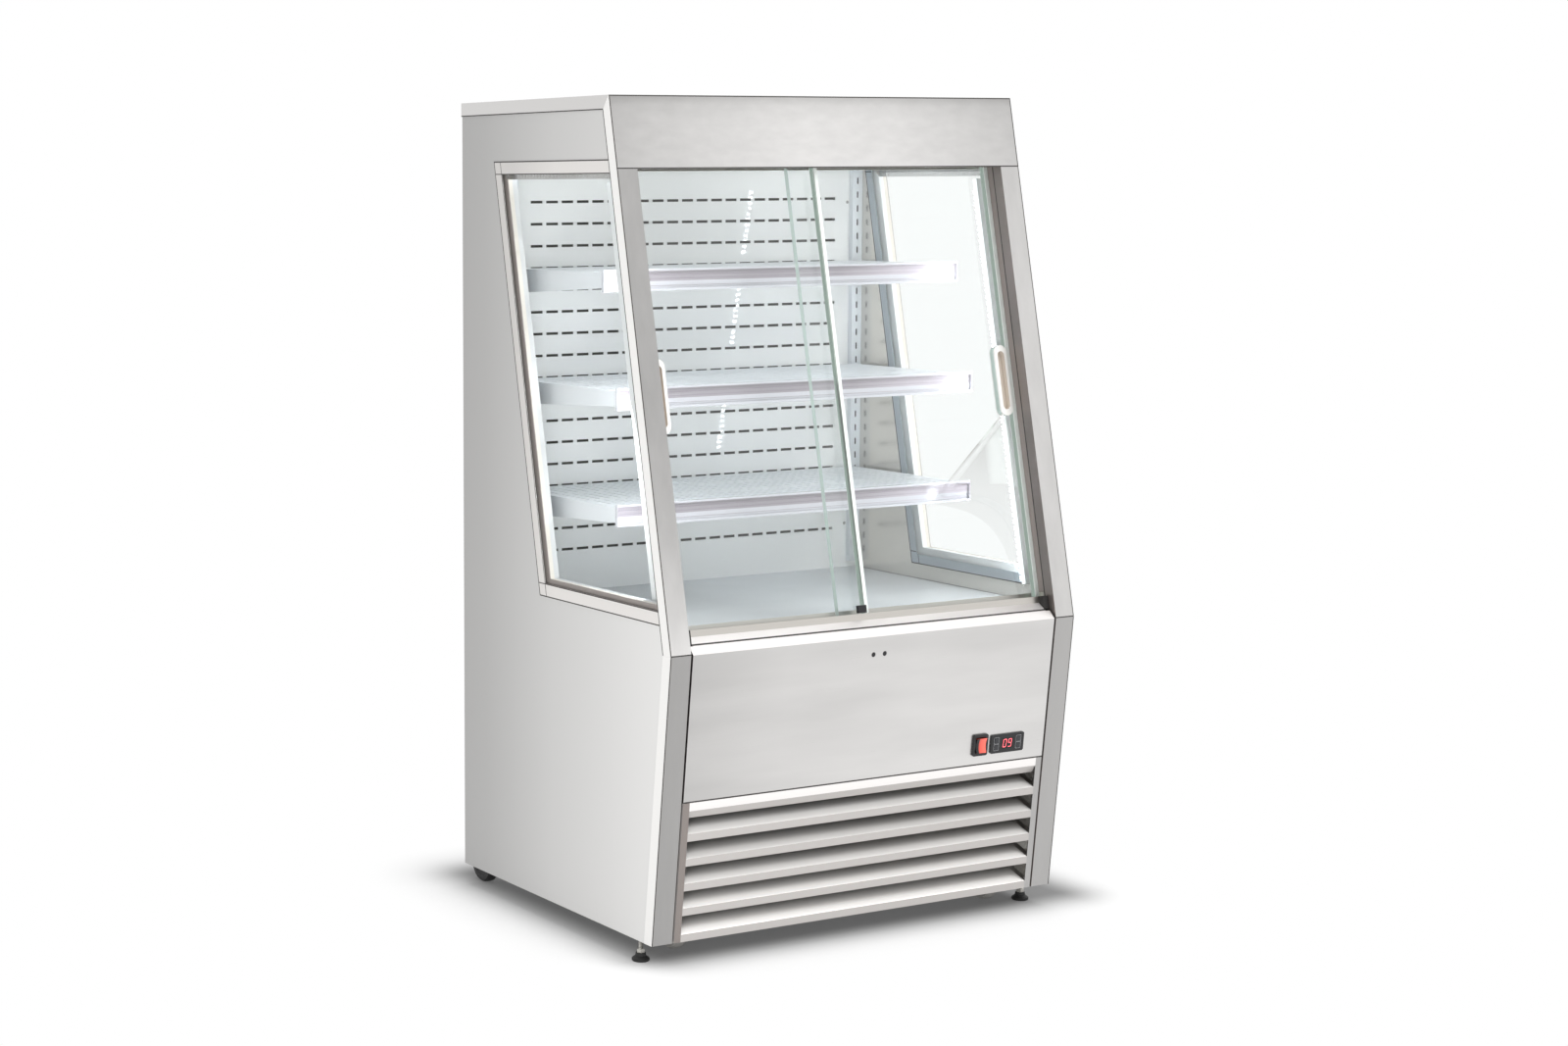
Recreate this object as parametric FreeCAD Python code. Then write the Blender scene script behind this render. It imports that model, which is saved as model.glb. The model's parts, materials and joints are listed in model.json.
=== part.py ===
import FreeCAD, Part
import math
import os

from FreeCAD import Vector

# Slanted-front refrigerated display cabinet with two sliding glass doors.
# X runs to the right, Y to the back and Z up; all sizes are millimetres.
# The origin is on the floor, in the middle of the footprint.

# ---- overall cabinet ------------------------------------------------------
cabinet_width = 900.0
cabinet_depth = 730.0          # from the knee of the front to the back
cabinet_height = 1535.0
skirt_clearance = 42.0         # floor to the lower edge of the side walls
knee_height = 566.0            # where the front is furthest forward
top_setback = 202.0            # the front leans back this far above the knee
bottom_setback = 57.0          # and this far below it
wheel_overhang = 36.0          # rear castors trail out behind the back

# ---- sheet metal and insulated walls --------------------------------------
sheet = 1.2
past = 1.0                     # how far a cutting shape runs past what it cuts
same = 0.01                    # two lengths this close are taken as equal
wall_thickness = 30.0
rear_wall_thickness = 40.0
floor_thickness = 40.0
roof_thickness = 95.0
floor_drop = 136.0              # knee to the underside of the insulated floor
pillar_width = 43.0
side_return = 25.0
pillar_inner_return = 26.0
lower_inner_return = 12.0
fascia_height = 130.0
fascia_lip = 27.0
fascia_top_flange = 18.0
cap_flange = 26.0
cap_overhang = 2.0

# ---- side windows ---------------------------------------------------------
window_sill_rise = 50.0         # knee to the lower strip
window_head_drop = 113.0        # top of the cabinet to the upper strip
window_depth = 428.0            # front edge of the cabinet to the frame's back
frame_strip = 25.0
frame_cover = 12.0             # how far a frame strip laps over the wall
window_front_edge = 14.0
pane_thickness = 5.0
spacer_width = 9.0
inner_strip = 20.0
glass_clearance = 0.3

# ---- doors and their tracks (measured square to the slanted front) --------
track_front = 28.0
track_back = 66.0
track_lip = 2.5
track_rib = 1.0
track_base = 3.0
track_foot_height = 30.0
sill_lap = 2.0
outer_lip_height = 44.0
inner_lip_height = 52.0
head_track_lift = 9.0
head_track_groove = 26.0
head_track_height = 50.0
door_thickness = 12.0
door_gap = 4.0
outer_door_depth = 32.0
door_foot_height = 35.0
door_head_lap = 18.0
door_rail = 8.0
door_stile = 9.0
door_glass_inset = 1.0
door_meeting_x = 4.0
door_overlap = 54.0
door_side_clearance = 0.5
seal_thickness = 3.3
shoe_width = 18.0
shoe_height = 14.0
shoe_reach = 3.5               # in front of the track
shoe_lift = 1.0
stop_width = 12.0
stop_depth = 14.0
stop_foot = 19.0
handle_length = 134.0
handle_width = 29.0
handle_height = 456.0            # up the slope from the knee
handle_edge_distance = 24.0
handle_proud = 2.4
handle_back_proud = 1.2
handle_wall = 6.5
handle_pocket = 11.0
handle_pocket_end = 5.0        # wall left at each end of the pocket, beside handle_wall
handle_clearance = 0.1

# ---- sill, lower panel and controls ---------------------------------------
flange_run = 13.5
flange_rise = 13.5
seam = 0.6
tuck_gap = 0.3
panel_drop = 267.0              # knee to the lower edge of the panel
panel_gap = 4.0
panel_return = 15.0
plug_spacing = 25.0
plug_drop = 33.0
plug_diameter = 9.0
plug_sides = 12
plug_length = 6.0
plug_recess = 0.2
corner_cut = 2.5
switch_inset = 153.0
switch_rise = 39.0
switch_width = 34.0
switch_tall = 41.0
switch_bezel_proud = 4.0
switch_frame = 5.5
switch_hole_margin = 2.0       # panel hole inside the bezel flange
switch_housing_gap = 0.3
switch_housing_depth = 24.0
switch_well_depth = 20.0
rocker_clearance = 0.5
rocker_axis_depth = 4.0
rocker_back = 1.0              # body behind the axis
rocker_pin_radius = 1.5
rocker_pin_reach = 2.4
rocker_head_gap = 1.2
rocker_peak = 4.0
rocker_dish = 3.2
rocker_waist = 0.72
pin_clearance = 0.05
thermostat_inset = 89.0
thermostat_rise = 37.0
thermostat_width = 78.0
thermostat_tall = 36.0
thermostat_proud = 3.0
thermostat_body_depth = 58.0
thermostat_body_tall = 29.0
thermostat_body_width = 71.0
body_hole_gap = 0.3
display_recess = 0.8
display_width = 28.0
display_tall = 20.0
key_width = 9.0
key_tall = 10.0
key_clearance = 0.3
key_proud = 1.0
key_root = 1.0                 # from the panel face to the back of a key
key_offset = 26.0
key_pitch = 13.0

# ---- louvred grille -------------------------------------------------------
grille_rail = 13.5
grille_rail_depth = 14.0
louvre_count = 5
louvre_pitch = 45.6
louvre_lip = 14.0
louvre_run = 58.0
louvre_rise = 20.0
louvre_sheet = 1.5
first_blade_rise = 3.0         # the upper blades stand this much off the foot
blade_end_gap = 1.0
grille_head = 15.0
grille_head_turn = 14.0
grille_head_run = 9.0

# ---- interior -------------------------------------------------------------
plenum_depth = 67.0              # face of the slotted panel to the rear wall
slot_columns = 21
slot_rows = 17
slot_length = 26.5
slot_height = 5.0
slot_pitch_x = 34.6
slot_pitch_z = 42.2
lowest_slot = 669.3
plenum_rib = 16.0
upright_width = 24.0
upright_depth = 12.0
upright_sheet = 2.0
upright_lift = 13.0
upright_head_gap = 8.0
deck_rise = 21.0
deck_flange = 20.0
deck_slot_count = 8
deck_slot_length = 72.0
deck_slot_border = 50.0
deck_slot_setback = 14.0
deck_slot_width = 8.0
shelf_side_gap = 20.8
shelf_sheet = 1.0
shelf_flange = 30.0
shelf_rear_gap = 2.0
shelf_levels = (797.0, 1008.0, 1219.0)      # upper faces of the shelves
shelf_depths = (365.0, 365.0, 318.0)
bracket_sheet = 3.0
bracket_rear_height = 45.0
bracket_front_height = 28.0
bracket_tail = 30.0
rail_height = 40.0
rail_depth = 8.0
rail_lip = 3.0
rail_sheet = 2.0
rail_above_shelf = 5.0
led_width = 12.0
led_depth = 14.0
led_gap = 7.0
led_chamfer = 4.0
led_foot = 70.0
led_head_gap = 16.0

# ---- vents in the rear cover ----------------------------------------------
vent_rows = 6
vent_pitch = 40.0
vent_height = 12.0
vent_length = 200.0
vent_spacing = 170.0
vent_foot = 50.0

# ---- cooling unit ---------------------------------------------------------
evaporator_width = 620.0
evaporator_depth = 120.0
evaporator_height = 84.0
evaporator_place = 330.0       # knee to the front of the coil
fan_spacing = 300.0
evaporator_fan_radius = 36.0
evaporator_hub_radius = 14.0
evaporator_motor_length = 30.0
evaporator_plate = 2.0
condenser_x = -150.0
condenser_width = 320.0
condenser_height = 270.0
condenser_depth = 55.0
condenser_place = 125.0
condenser_fan_radius = 118.0
condenser_hub_radius = 24.0
shroud_radius = 124.0
condenser_motor_length = 46.0
compressor_x = 215.0
compressor_place = 540.0
compressor_radius = 82.0
compressor_height = 190.0
compressor_dome = 22.0
compressor_step = 14.0
compressor_foot = 14.0
compressor_foot_width = 18.0
compressor_plate = 4.0
compressor_flange = 12.0
terminal_box_lift = 45.0
terminal_box_width = 64.0
terminal_box_depth = 34.0
terminal_box_sink = 10.0       # box set into the can
pipe_lift = 110.0
pipe_standoff = 30.0
tray_width = 300.0
tray_depth = 170.0
tray_height = 45.0
tray_sheet = 2.0
tray_side_gap = 30.0
tray_rear_gap = 40.0
shaft_radius = 4.0
shaft_clearance = 0.05
shaft_end = 1.0                # shaft beyond the hub
hub_length = 18.0
blade_count = 4
blade_thickness = 2.0
blade_root_lap = 2.0
blade_pitch_angle = 22.0
blade_end_play = 1.0
blade_root_share = 0.7
tube_radius = 5.0
coil_plate = 2.0
coil_plate_proud = 4.0
motor_half_small = 19.0
motor_half_large = 30.0
shroud_sides = 24
can_sides = 24
tube_sides = 8

# ---- base, castors and levelling feet -------------------------------------
pan_height = 100.0
pan_sheet = 2.0
pan_lip = 16.0
pan_front = 114.0                # knee to the front edge of the pan
wheel_radius_rear = 37.5
wheel_radius_front = 30.0
wheel_width = 24.0
front_wheel_lift = 9.0
axle_radius = 5.0
axle_clearance = 0.05
rear_castor_wall_gap = 0.8
front_castor_wall_gap = 4.6
front_castor_place = 160.0
castor_trail = 28.0
castor_plate = 4.0
castor_plate_size = 60.0
castor_gap = 0.3
fork_sheet = 3.0
fork_reach = 11.0
crown_half = 22.0
crown_clearance = 4.0
kingpin_radius = 6.0
kingpin_clearance = 0.05
wheel_side_gap = 1.0
foot_wall_place = 14.2
foot_place = 118.0
foot_pad_radius = 16.0
foot_pad_height = 15.0
foot_stem_length = 50.0
foot_stem_radius = 4.0
foot_nut_height = 7.0
foot_nut_across = 13.0

# ---- derived places -------------------------------------------------------
half_width = cabinet_width / 2
front = -(cabinet_depth + wheel_overhang) / 2
back = front + cabinet_depth
skin_x = half_width - sheet
inner_x = skin_x - wall_thickness
pillar_inner_x = half_width - pillar_width
fascia_bottom = cabinet_height - fascia_height
slope = math.atan2(top_setback, cabinet_height - knee_height)
louvre_face_x = pillar_inner_x - panel_gap
door_edge_x = inner_x - seal_thickness - door_side_clearance
inner_door_depth = outer_door_depth + door_thickness + door_gap
roof_underside = cabinet_height - roof_thickness
floor_underside = knee_height - floor_drop
window_sill_height = knee_height + window_sill_rise
window_head_height = cabinet_height - window_head_drop
head_track_bottom = (fascia_bottom - knee_height) / math.cos(slope) + head_track_lift
led_head = head_track_bottom - led_head_gap
door_head_height = head_track_bottom + door_head_lap
panel_bottom = knee_height - panel_drop
plug_height = knee_height - plug_drop
switch_x = louvre_face_x - switch_inset
switch_height = panel_bottom + switch_rise
thermostat_x = louvre_face_x - thermostat_inset
thermostat_height = panel_bottom + thermostat_rise
air_panel_y = back - rear_wall_thickness - plenum_depth
deck_height = knee_height + deck_rise
upright_foot = deck_height + upright_lift
shelf_half = inner_x - shelf_side_gap
fork_half = wheel_width / 2 + wheel_side_gap + fork_sheet
swing_radius = math.hypot(castor_trail + wheel_radius_front, wheel_width / 2)
rear_castor_x = inner_x - rear_castor_wall_gap - fork_half
front_castor_x = inner_x - front_castor_wall_gap - swing_radius
foot_x = inner_x + foot_wall_place


def front_y(z):
    """Y of the outer front surface at height z."""
    if z >= knee_height:
        share = (z - knee_height) / (cabinet_height - knee_height)
        return front + top_setback * share
    share = (knee_height - z) / (knee_height - skirt_clearance)
    return front + bottom_setback * share


def plane_y(depth, z):
    """Y at height z of the plane that lies this deep behind the slanted front."""
    return front + (z - knee_height) * math.tan(slope) + depth / math.cos(slope)


def tilt_point(depth, rise):
    """Y and Z of a point given square to the slanted front and along it."""
    y = front + depth * math.cos(slope) + rise * math.sin(slope)
    z = knee_height - depth * math.sin(slope) + rise * math.cos(slope)
    return y, z


def block(x0, x1, y0, y1, z0, z1):
    return Part.makeBox(x1 - x0, y1 - y0, z1 - z0, Vector(x0, y0, z0))


def prism_x(outline, x0, x1):
    """Extrude a closed outline of (y, z) points along X."""
    points = [Vector(x0, y, z) for y, z in outline]
    face = Part.Face(Part.makePolygon(points + points[:1]))
    return face.extrude(Vector(x1 - x0, 0, 0))


def front_slab(x0, x1, z0, z1, depth0, depth1):
    """A slab that follows the front between two horizontal depths."""
    levels = [z0, z1]
    if z0 < knee_height < z1:
        levels = [z0, knee_height, z1]
    near = [(front_y(z) + depth0, z) for z in levels]
    far = [(front_y(z) + depth1, z) for z in reversed(levels)]
    return prism_x(near + far, x0, x1)


def tilted(shape):
    """Set a shape drawn upright at the origin onto the slanted front."""
    shape.rotate(Vector(0, 0, 0), Vector(1, 0, 0), -math.degrees(slope))
    shape.translate(Vector(0, front, knee_height))
    return shape


def mirrored(shape):
    return shape.mirror(Vector(0, 0, 0), Vector(1, 0, 0))


def fused(shapes):
    result = shapes[0]
    if len(shapes) > 1:
        result = shapes[0].fuse(shapes[1:])
    return result.removeSplitter()


def polygon_ring(sides, radius, centre, axis):
    """Closed regular outline round the centre, square to the axis."""
    first = Vector(0, 0, 1) if abs(axis.z) < 0.5 else Vector(1, 0, 0)
    second = axis.cross(first)
    points = []
    for k in range(sides):
        a = 2 * math.pi * (k + 0.5) / sides
        points.append(centre + first * (radius * math.cos(a)) + second * (radius * math.sin(a)))
    return Part.makePolygon(points + points[:1])


def faceted_rod(start, end, radius, sides):
    axis = end.sub(start)
    unit = Vector(axis).normalize()
    return Part.Face(polygon_ring(sides, radius, start, unit)).extrude(axis)


def rod(start, end, radius):
    axis = end.sub(start)
    return Part.makeCylinder(radius, axis.Length, start, axis)


def save(name, *shapes):
    solids = []
    for shape in shapes:
        solids.extend(shape.Solids)
    whole = solids[0] if len(solids) == 1 else Part.makeCompound(solids)
    whole.exportStep("parts/" + name + ".step")


# ---- insulated body -------------------------------------------------------
def window_outline(front_edge, back_edge, z0, z1):
    """Parallelogram whose sides run with the slanted front."""
    return [
        (front_y(z0) + front_edge, z0),
        (front_y(z0) + back_edge, z0),
        (front_y(z1) + back_edge, z1),
        (front_y(z1) + front_edge, z1),
    ]


def side_wall():
    top = cabinet_height - sheet
    outline = [
        (back, skirt_clearance),
        (back, top),
        (front_y(top) + sheet, top),
        (front_y(knee_height) + sheet, knee_height),
        (front_y(skirt_clearance) + sheet, skirt_clearance),
    ]
    wall = prism_x(outline, inner_x, skin_x)
    hole = window_outline(
        window_front_edge,
        window_depth - frame_cover,
        window_sill_height + frame_cover,
        window_head_height - frame_cover,
    )
    return wall.cut(prism_x(hole, inner_x - past, skin_x + past))


def side_glass():
    """Two panes with the aluminium spacer between them near the edge."""
    edge = glass_clearance
    outline = window_outline(
        window_front_edge + edge,
        window_depth - frame_cover - edge,
        window_sill_height + frame_cover + edge,
        window_head_height - frame_cover - edge,
    )
    outer = prism_x(outline, skin_x - pane_thickness, skin_x)
    inner = prism_x(outline, inner_x, inner_x + pane_thickness)
    ring_back = window_depth - frame_strip - spacer_width
    ring_low = window_sill_height + frame_strip + spacer_width
    ring_high = window_head_height - frame_strip - spacer_width
    hollow = window_outline(side_return + spacer_width, ring_back, ring_low, ring_high)
    x0 = inner_x + pane_thickness
    x1 = skin_x - pane_thickness
    spacer = prism_x(outline, x0, x1)
    spacer = spacer.cut(prism_x(hollow, x0 - past, x1 + past))
    return outer, inner, spacer


def window_frame():
    """Outer strips on three sides and a full ring of strips inside."""
    outer = prism_x(
        window_outline(side_return, window_depth, window_sill_height, window_head_height),
        skin_x,
        half_width,
    )
    opening = window_outline(
        side_return - past,
        window_depth - frame_strip,
        window_sill_height + frame_strip,
        window_head_height - frame_strip,
    )
    outer = outer.cut(prism_x(opening, skin_x - past, half_width + past))
    ring_front = (track_back + led_gap + led_depth) / math.cos(slope) + tuck_gap
    ring = prism_x(
        window_outline(ring_front, window_depth, window_sill_height, window_head_height),
        inner_x - sheet,
        inner_x,
    )
    ring_opening = window_outline(
        ring_front - past,
        window_depth - inner_strip,
        window_sill_height + inner_strip,
        window_head_height - inner_strip,
    )
    ring = ring.cut(prism_x(ring_opening, inner_x - sheet - past, inner_x + past))
    return outer, ring


def roof_panel():
    top = cabinet_height - 2 * sheet
    outline = [
        (front_y(roof_underside) + fascia_lip, roof_underside),
        (back, roof_underside),
        (back, top),
        (front_y(top) + fascia_lip, top),
    ]
    return prism_x(outline, -inner_x, inner_x)


def rear_wall():
    y0 = back - rear_wall_thickness
    slab = block(-inner_x, inner_x, y0, back, floor_underside, roof_underside)
    rib_foot = deck_height - deck_flange
    rib_y = air_panel_y + sheet
    rib = block(inner_x - plenum_rib, inner_x, rib_y, y0, rib_foot, roof_underside)
    return fused([slab, rib, mirrored(rib)])


def floor_tub():
    """Insulated floor with the upstand that carries the door track."""
    y0, z0 = tilt_point(track_front, track_foot_height)
    y1, z1 = tilt_point(track_back, track_foot_height)
    top = floor_underside + floor_thickness
    outline = [
        (y0, floor_underside),
        (back - rear_wall_thickness, floor_underside),
        (back - rear_wall_thickness, top),
        (y1, top),
        (y1, z1),
        (y0, z0),
    ]
    return prism_x(outline, -inner_x, inner_x)


def rear_grille():
    """Pressed cover over the back of the machine compartment."""
    z0 = pan_height + pan_sheet
    plate = block(-inner_x, inner_x, back - sheet, back, z0, floor_underside)
    cuts = []
    w = vent_length / 2
    for column in (-1, 1):
        for row in range(vent_rows):
            x = column * vent_spacing
            z = z0 + vent_foot + row * vent_pitch
            cuts.append(block(x - w, x + w, back - sheet - past, back + past, z, z + vent_height))
    return plate.cut(Part.makeCompound(cuts))


# ---- stainless trims ------------------------------------------------------
def pillar(z0, z1, inner_return):
    face = front_slab(pillar_inner_x, half_width, z0, z1, 0, sheet)
    outside = front_slab(skin_x, half_width, z0, z1, 0, side_return)
    inside_edge = pillar_inner_x + sheet
    inside = front_slab(pillar_inner_x, inside_edge, z0, z1, 0, inner_return)
    return fused([face, outside, inside])


def fascia():
    top = cabinet_height
    face = front_slab(-half_width, half_width, fascia_bottom, top, 0, sheet)
    lip = front_slab(-inner_x, inner_x, fascia_bottom, fascia_bottom + sheet, 0, fascia_lip)
    flange_z = top - 2 * sheet
    flange = front_slab(-inner_x, inner_x, flange_z, top - sheet, 0, fascia_top_flange)
    mitre = [
        (front_y(top), top),
        (front_y(fascia_bottom), fascia_bottom),
        (front_y(fascia_bottom) + side_return, fascia_bottom),
        (front_y(top - cap_flange) + side_return, top - cap_flange),
    ]
    cheek = prism_x(mitre, skin_x, half_width)
    return fused([face, lip, flange, cheek, mirrored(cheek)])


def top_cap():
    top = cabinet_height
    rear = back + cap_overhang
    plate_front = front_y(top) + sheet
    plate = block(-half_width, half_width, plate_front, rear, top - sheet, top)
    mitre = [
        (plate_front, top - sheet),
        (front_y(top - cap_flange) + side_return + seam, top - cap_flange),
        (rear, top - cap_flange),
        (rear, top - sheet),
    ]
    cheek = prism_x(mitre, skin_x, half_width)
    turn_down = block(-half_width, half_width, rear - sheet, rear, top - cap_flange, top)
    return fused([plate, cheek, mirrored(cheek), turn_down])


# ---- louvred grille at the foot -------------------------------------------
def louvre(z):
    """One blade: a lip on the front face and a shelf rising to the back."""
    y = front_y(z)
    lip_top = z + louvre_lip
    outline = [
        (y, z),
        (front_y(lip_top), lip_top),
        (front_y(lip_top) + louvre_run, lip_top + louvre_rise),
        (front_y(lip_top) + louvre_run, lip_top + louvre_rise - louvre_sheet),
        (front_y(lip_top) + louvre_sheet, lip_top - louvre_sheet),
        (y + louvre_sheet, z),
    ]
    return prism_x(outline, -louvre_face_x + blade_end_gap, louvre_face_x - blade_end_gap)


def louvre_grille():
    z0 = skirt_clearance
    z1 = panel_bottom - seam
    rail = front_slab(
        louvre_face_x - grille_rail, louvre_face_x, z0, z1, 0, grille_rail_depth
    )
    rail_hollow = front_slab(
        louvre_face_x - grille_rail - past,
        louvre_face_x - louvre_sheet,
        z0 - past,
        z1 + past,
        louvre_sheet,
        grille_rail_depth + past,
    )
    rail = rail.cut(rail_hollow)
    turn_z = z1 - grille_head
    foot_z = turn_z - grille_head_turn
    head = [
        (front_y(z1), z1),
        (front_y(turn_z), turn_z),
        (front_y(turn_z) + grille_head_run, foot_z),
        (front_y(turn_z) + grille_head_run + louvre_sheet, foot_z),
        (front_y(turn_z) + louvre_sheet, turn_z),
        (front_y(z1) + louvre_sheet, z1 - louvre_sheet),
        (front_y(z1) + grille_rail_depth, z1 - louvre_sheet),
        (front_y(z1) + grille_rail_depth, z1),
    ]
    header = prism_x(head, -louvre_face_x + blade_end_gap, louvre_face_x - blade_end_gap)
    blades = [louvre(z0)]
    for k in range(1, louvre_count):
        blades.append(louvre(z0 + first_blade_rise + k * louvre_pitch))
    return fused([rail, mirrored(rail), header] + blades)


# ---- lower front panel with the controls ----------------------------------
def panel_place(x, z, depth=0.0):
    return Vector(x, front_y(z) + depth, z)


def on_panel(shape, x, z):
    """Stand a shape, drawn at the origin facing -Y, on the lower front."""
    lean = math.atan2(bottom_setback, knee_height - skirt_clearance)
    shape.rotate(Vector(0, 0, 0), Vector(1, 0, 0), math.degrees(lean))
    shape.translate(panel_place(x, z))
    return shape


def lower_front_panel():
    x1 = louvre_face_x
    face = front_slab(-x1, x1, panel_bottom, knee_height, 0, sheet)
    cheek = front_slab(x1 - sheet, x1, panel_bottom, knee_height, 0, panel_return)
    foot = front_slab(-x1, x1, panel_bottom, panel_bottom + sheet, 0, panel_return)
    outline = [
        (front, knee_height),
        (front + flange_run, knee_height + flange_rise),
        (front + flange_run + sheet, knee_height + flange_rise - sheet),
        (front + sheet, knee_height - sheet),
    ]
    flange = prism_x(outline, -x1, x1)
    panel = fused([face, cheek, mirrored(cheek), foot, flange])
    holes = []
    for side in (-1, 1):
        near = Vector(0, -past, 0)
        hole = faceted_rod(near, Vector(0, panel_return, 0), plug_diameter / 2, plug_sides)
        holes.append(on_panel(hole, side * plug_spacing / 2, plug_height))
    half_hole = switch_width / 2 - switch_hole_margin
    hole_tall = switch_tall / 2 - switch_hole_margin
    switch_hole = block(-half_hole, half_hole, -past, panel_return, -hole_tall, hole_tall)
    holes.append(on_panel(switch_hole, switch_x, switch_height))
    half_body = thermostat_body_width / 2
    half_tall = thermostat_body_tall / 2
    body_hole = block(-half_body, half_body, -past, panel_return, -half_tall, half_tall)
    holes.append(on_panel(body_hole, thermostat_x, thermostat_height))
    return panel.cut(Part.makeCompound(holes))


def panel_plugs():
    """Press-in plugs that close the two screw holes of the panel."""
    plugs = []
    for side in (-1, 1):
        face = Vector(0, plug_recess, 0)
        shank = faceted_rod(face, Vector(0, plug_length, 0), plug_diameter / 2, plug_sides)
        plugs.append(on_panel(shank, side * plug_spacing / 2, plug_height))
    return plugs


def switch_bezel():
    w = switch_width / 2
    t = switch_tall / 2
    flange = block(-w, w, -switch_bezel_proud, 0, -t, t)
    edges = [e for e in flange.Edges if abs(e.BoundBox.YLength - switch_bezel_proud) < same]
    flange = flange.makeChamfer(corner_cut, edges)
    inset = switch_hole_margin + switch_housing_gap
    housing = block(-w + inset, w - inset, 0, switch_housing_depth, -t + inset, t - inset)
    body = flange.fuse(housing)
    f = switch_frame
    mouth = -switch_bezel_proud - past
    well = block(-w + f, w - f, mouth, switch_well_depth, -t + f, t - f)
    reach = w - f + rocker_pin_reach
    sockets = rod(
        Vector(-reach, rocker_axis_depth, 0), Vector(reach, rocker_axis_depth, 0),
        rocker_pin_radius + pin_clearance,
    )
    return on_panel(body.cut([well, sockets]).removeSplitter(), switch_x, switch_height)


def switch_rocker():
    """A rocker with a dished face that pivots on two side pins."""
    w = switch_width / 2 - switch_frame - rocker_clearance
    t = switch_tall / 2 - switch_frame - rocker_head_gap
    peak = switch_bezel_proud + rocker_peak
    rear = rocker_axis_depth + rocker_back
    low = t * rocker_waist
    dish = Part.Arc(Vector(-w, -peak, -t), Vector(-w, rocker_dish - peak, 0), Vector(-w, -peak, t))
    sides = [
        Part.LineSegment(Vector(-w, -peak, t), Vector(-w, rear, low)),
        Part.LineSegment(Vector(-w, rear, low), Vector(-w, rear, -low)),
        Part.LineSegment(Vector(-w, rear, -low), Vector(-w, -peak, -t)),
    ]
    wire = Part.Wire([dish.toShape()] + [side.toShape() for side in sides])
    body = Part.Face(wire).extrude(Vector(2 * w, 0, 0))
    reach = w + rocker_clearance + rocker_pin_reach - pin_clearance
    pins = rod(
        Vector(-reach, rocker_axis_depth, 0), Vector(reach, rocker_axis_depth, 0),
        rocker_pin_radius,
    )
    return on_panel(fused([body, pins]), switch_x, switch_height)


def key_places():
    places = []
    for side in (-1, 1):
        for row in (1, -1):
            places.append((side * key_offset, row * key_pitch / 2))
    return places


def thermostat_body():
    w = thermostat_width / 2
    t = thermostat_tall / 2
    plate = block(-w, w, -thermostat_proud, 0, -t, t)
    edges = [e for e in plate.Edges if abs(e.BoundBox.YLength - thermostat_proud) < same]
    plate = plate.makeChamfer(corner_cut, edges)
    bw = thermostat_body_width / 2 - body_hole_gap
    bt = thermostat_body_tall / 2 - body_hole_gap
    case = block(-bw, bw, 0, thermostat_body_depth, -bt, bt)
    body = plate.fuse(case).removeSplitter()
    near = -thermostat_proud - past
    cuts = [
        block(
            -display_width / 2, display_width / 2, near, -thermostat_proud + display_recess,
            -display_tall / 2, display_tall / 2,
        )
    ]
    for x, z in key_places():
        kw = key_width / 2 + key_clearance
        kt = key_tall / 2 + key_clearance
        cuts.append(block(x - kw, x + kw, near, 0, z - kt, z + kt))
    return on_panel(body.cut(Part.makeCompound(cuts)), thermostat_x, thermostat_height)


def thermostat_key(x, z):
    w = key_width / 2
    t = key_tall / 2
    key = block(x - w, x + w, -thermostat_proud - key_proud, -key_root, z - t, z + t)
    return on_panel(key, thermostat_x, thermostat_height)


# ---- door frame, tracks and doors -----------------------------------------
def door_sill():
    """Folded strip between the panel flange and the door track."""
    y0 = front + flange_run + sheet + tuck_gap
    z0 = knee_height + flange_rise + tuck_gap
    y1, z1 = tilt_point(track_front - tuck_gap, track_foot_height + sill_lap)
    outline = [
        (y0, z0),
        (y1, z1),
        (y1, z1 - sheet),
        (y0 + sheet, z0 - sheet),
        (y0 + sheet, z0 - panel_return),
        (y0, z0 - panel_return),
    ]
    x1 = pillar_inner_x - seam - stop_width - tuck_gap
    return prism_x(outline, -x1, x1)


def bottom_track():
    track = block(
        -inner_x, inner_x, track_front, track_back, track_foot_height, inner_lip_height
    )
    floor = track_foot_height + track_base
    rib_y = outer_door_depth + door_thickness + door_gap / 2
    x1 = inner_x + past
    above = inner_lip_height + past
    front_groove = block(
        -x1, x1, track_front + track_lip, rib_y - track_rib / 2, floor, above
    )
    rear_groove = block(
        -x1, x1, rib_y + track_rib / 2, track_back - track_lip, floor, above
    )
    step = block(-x1, x1, track_front - past, rib_y + track_rib, outer_lip_height, above)
    return tilted(track.cut(Part.makeCompound([front_groove, rear_groove, step])))


def top_track():
    z0 = head_track_bottom
    track = block(-inner_x, inner_x, track_front, track_back, z0, z0 + head_track_height)
    rib_y = outer_door_depth + door_thickness + door_gap / 2
    x1 = inner_x + past
    top = z0 + head_track_groove
    grooves = [
        block(-x1, x1, track_front + track_lip, rib_y - track_rib / 2, z0 - past, top),
        block(-x1, x1, rib_y + track_rib / 2, track_back - track_lip, z0 - past, top),
    ]
    track = tilted(track.cut(Part.makeCompound(grooves)))
    below_roof = block(-inner_x, inner_x, front, back, 0, roof_underside)
    return track.common(below_roof).removeSplitter()


def door_seals():
    """Rubber seals on both jambs."""
    seal = tilted(
        block(
            inner_x - seal_thickness, inner_x, track_front + track_lip, track_back - track_lip,
            inner_lip_height, head_track_bottom,
        )
    )
    return seal, mirrored(seal)


def track_end_blocks():
    """Moulded blocks that close both ends of the sill in front of the track."""
    x1 = pillar_inner_x - seam
    stop = block(x1 - stop_width, x1, stop_depth, track_front, stop_foot, outer_lip_height)
    stop = tilted(stop)
    return stop, mirrored(stop)


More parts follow.
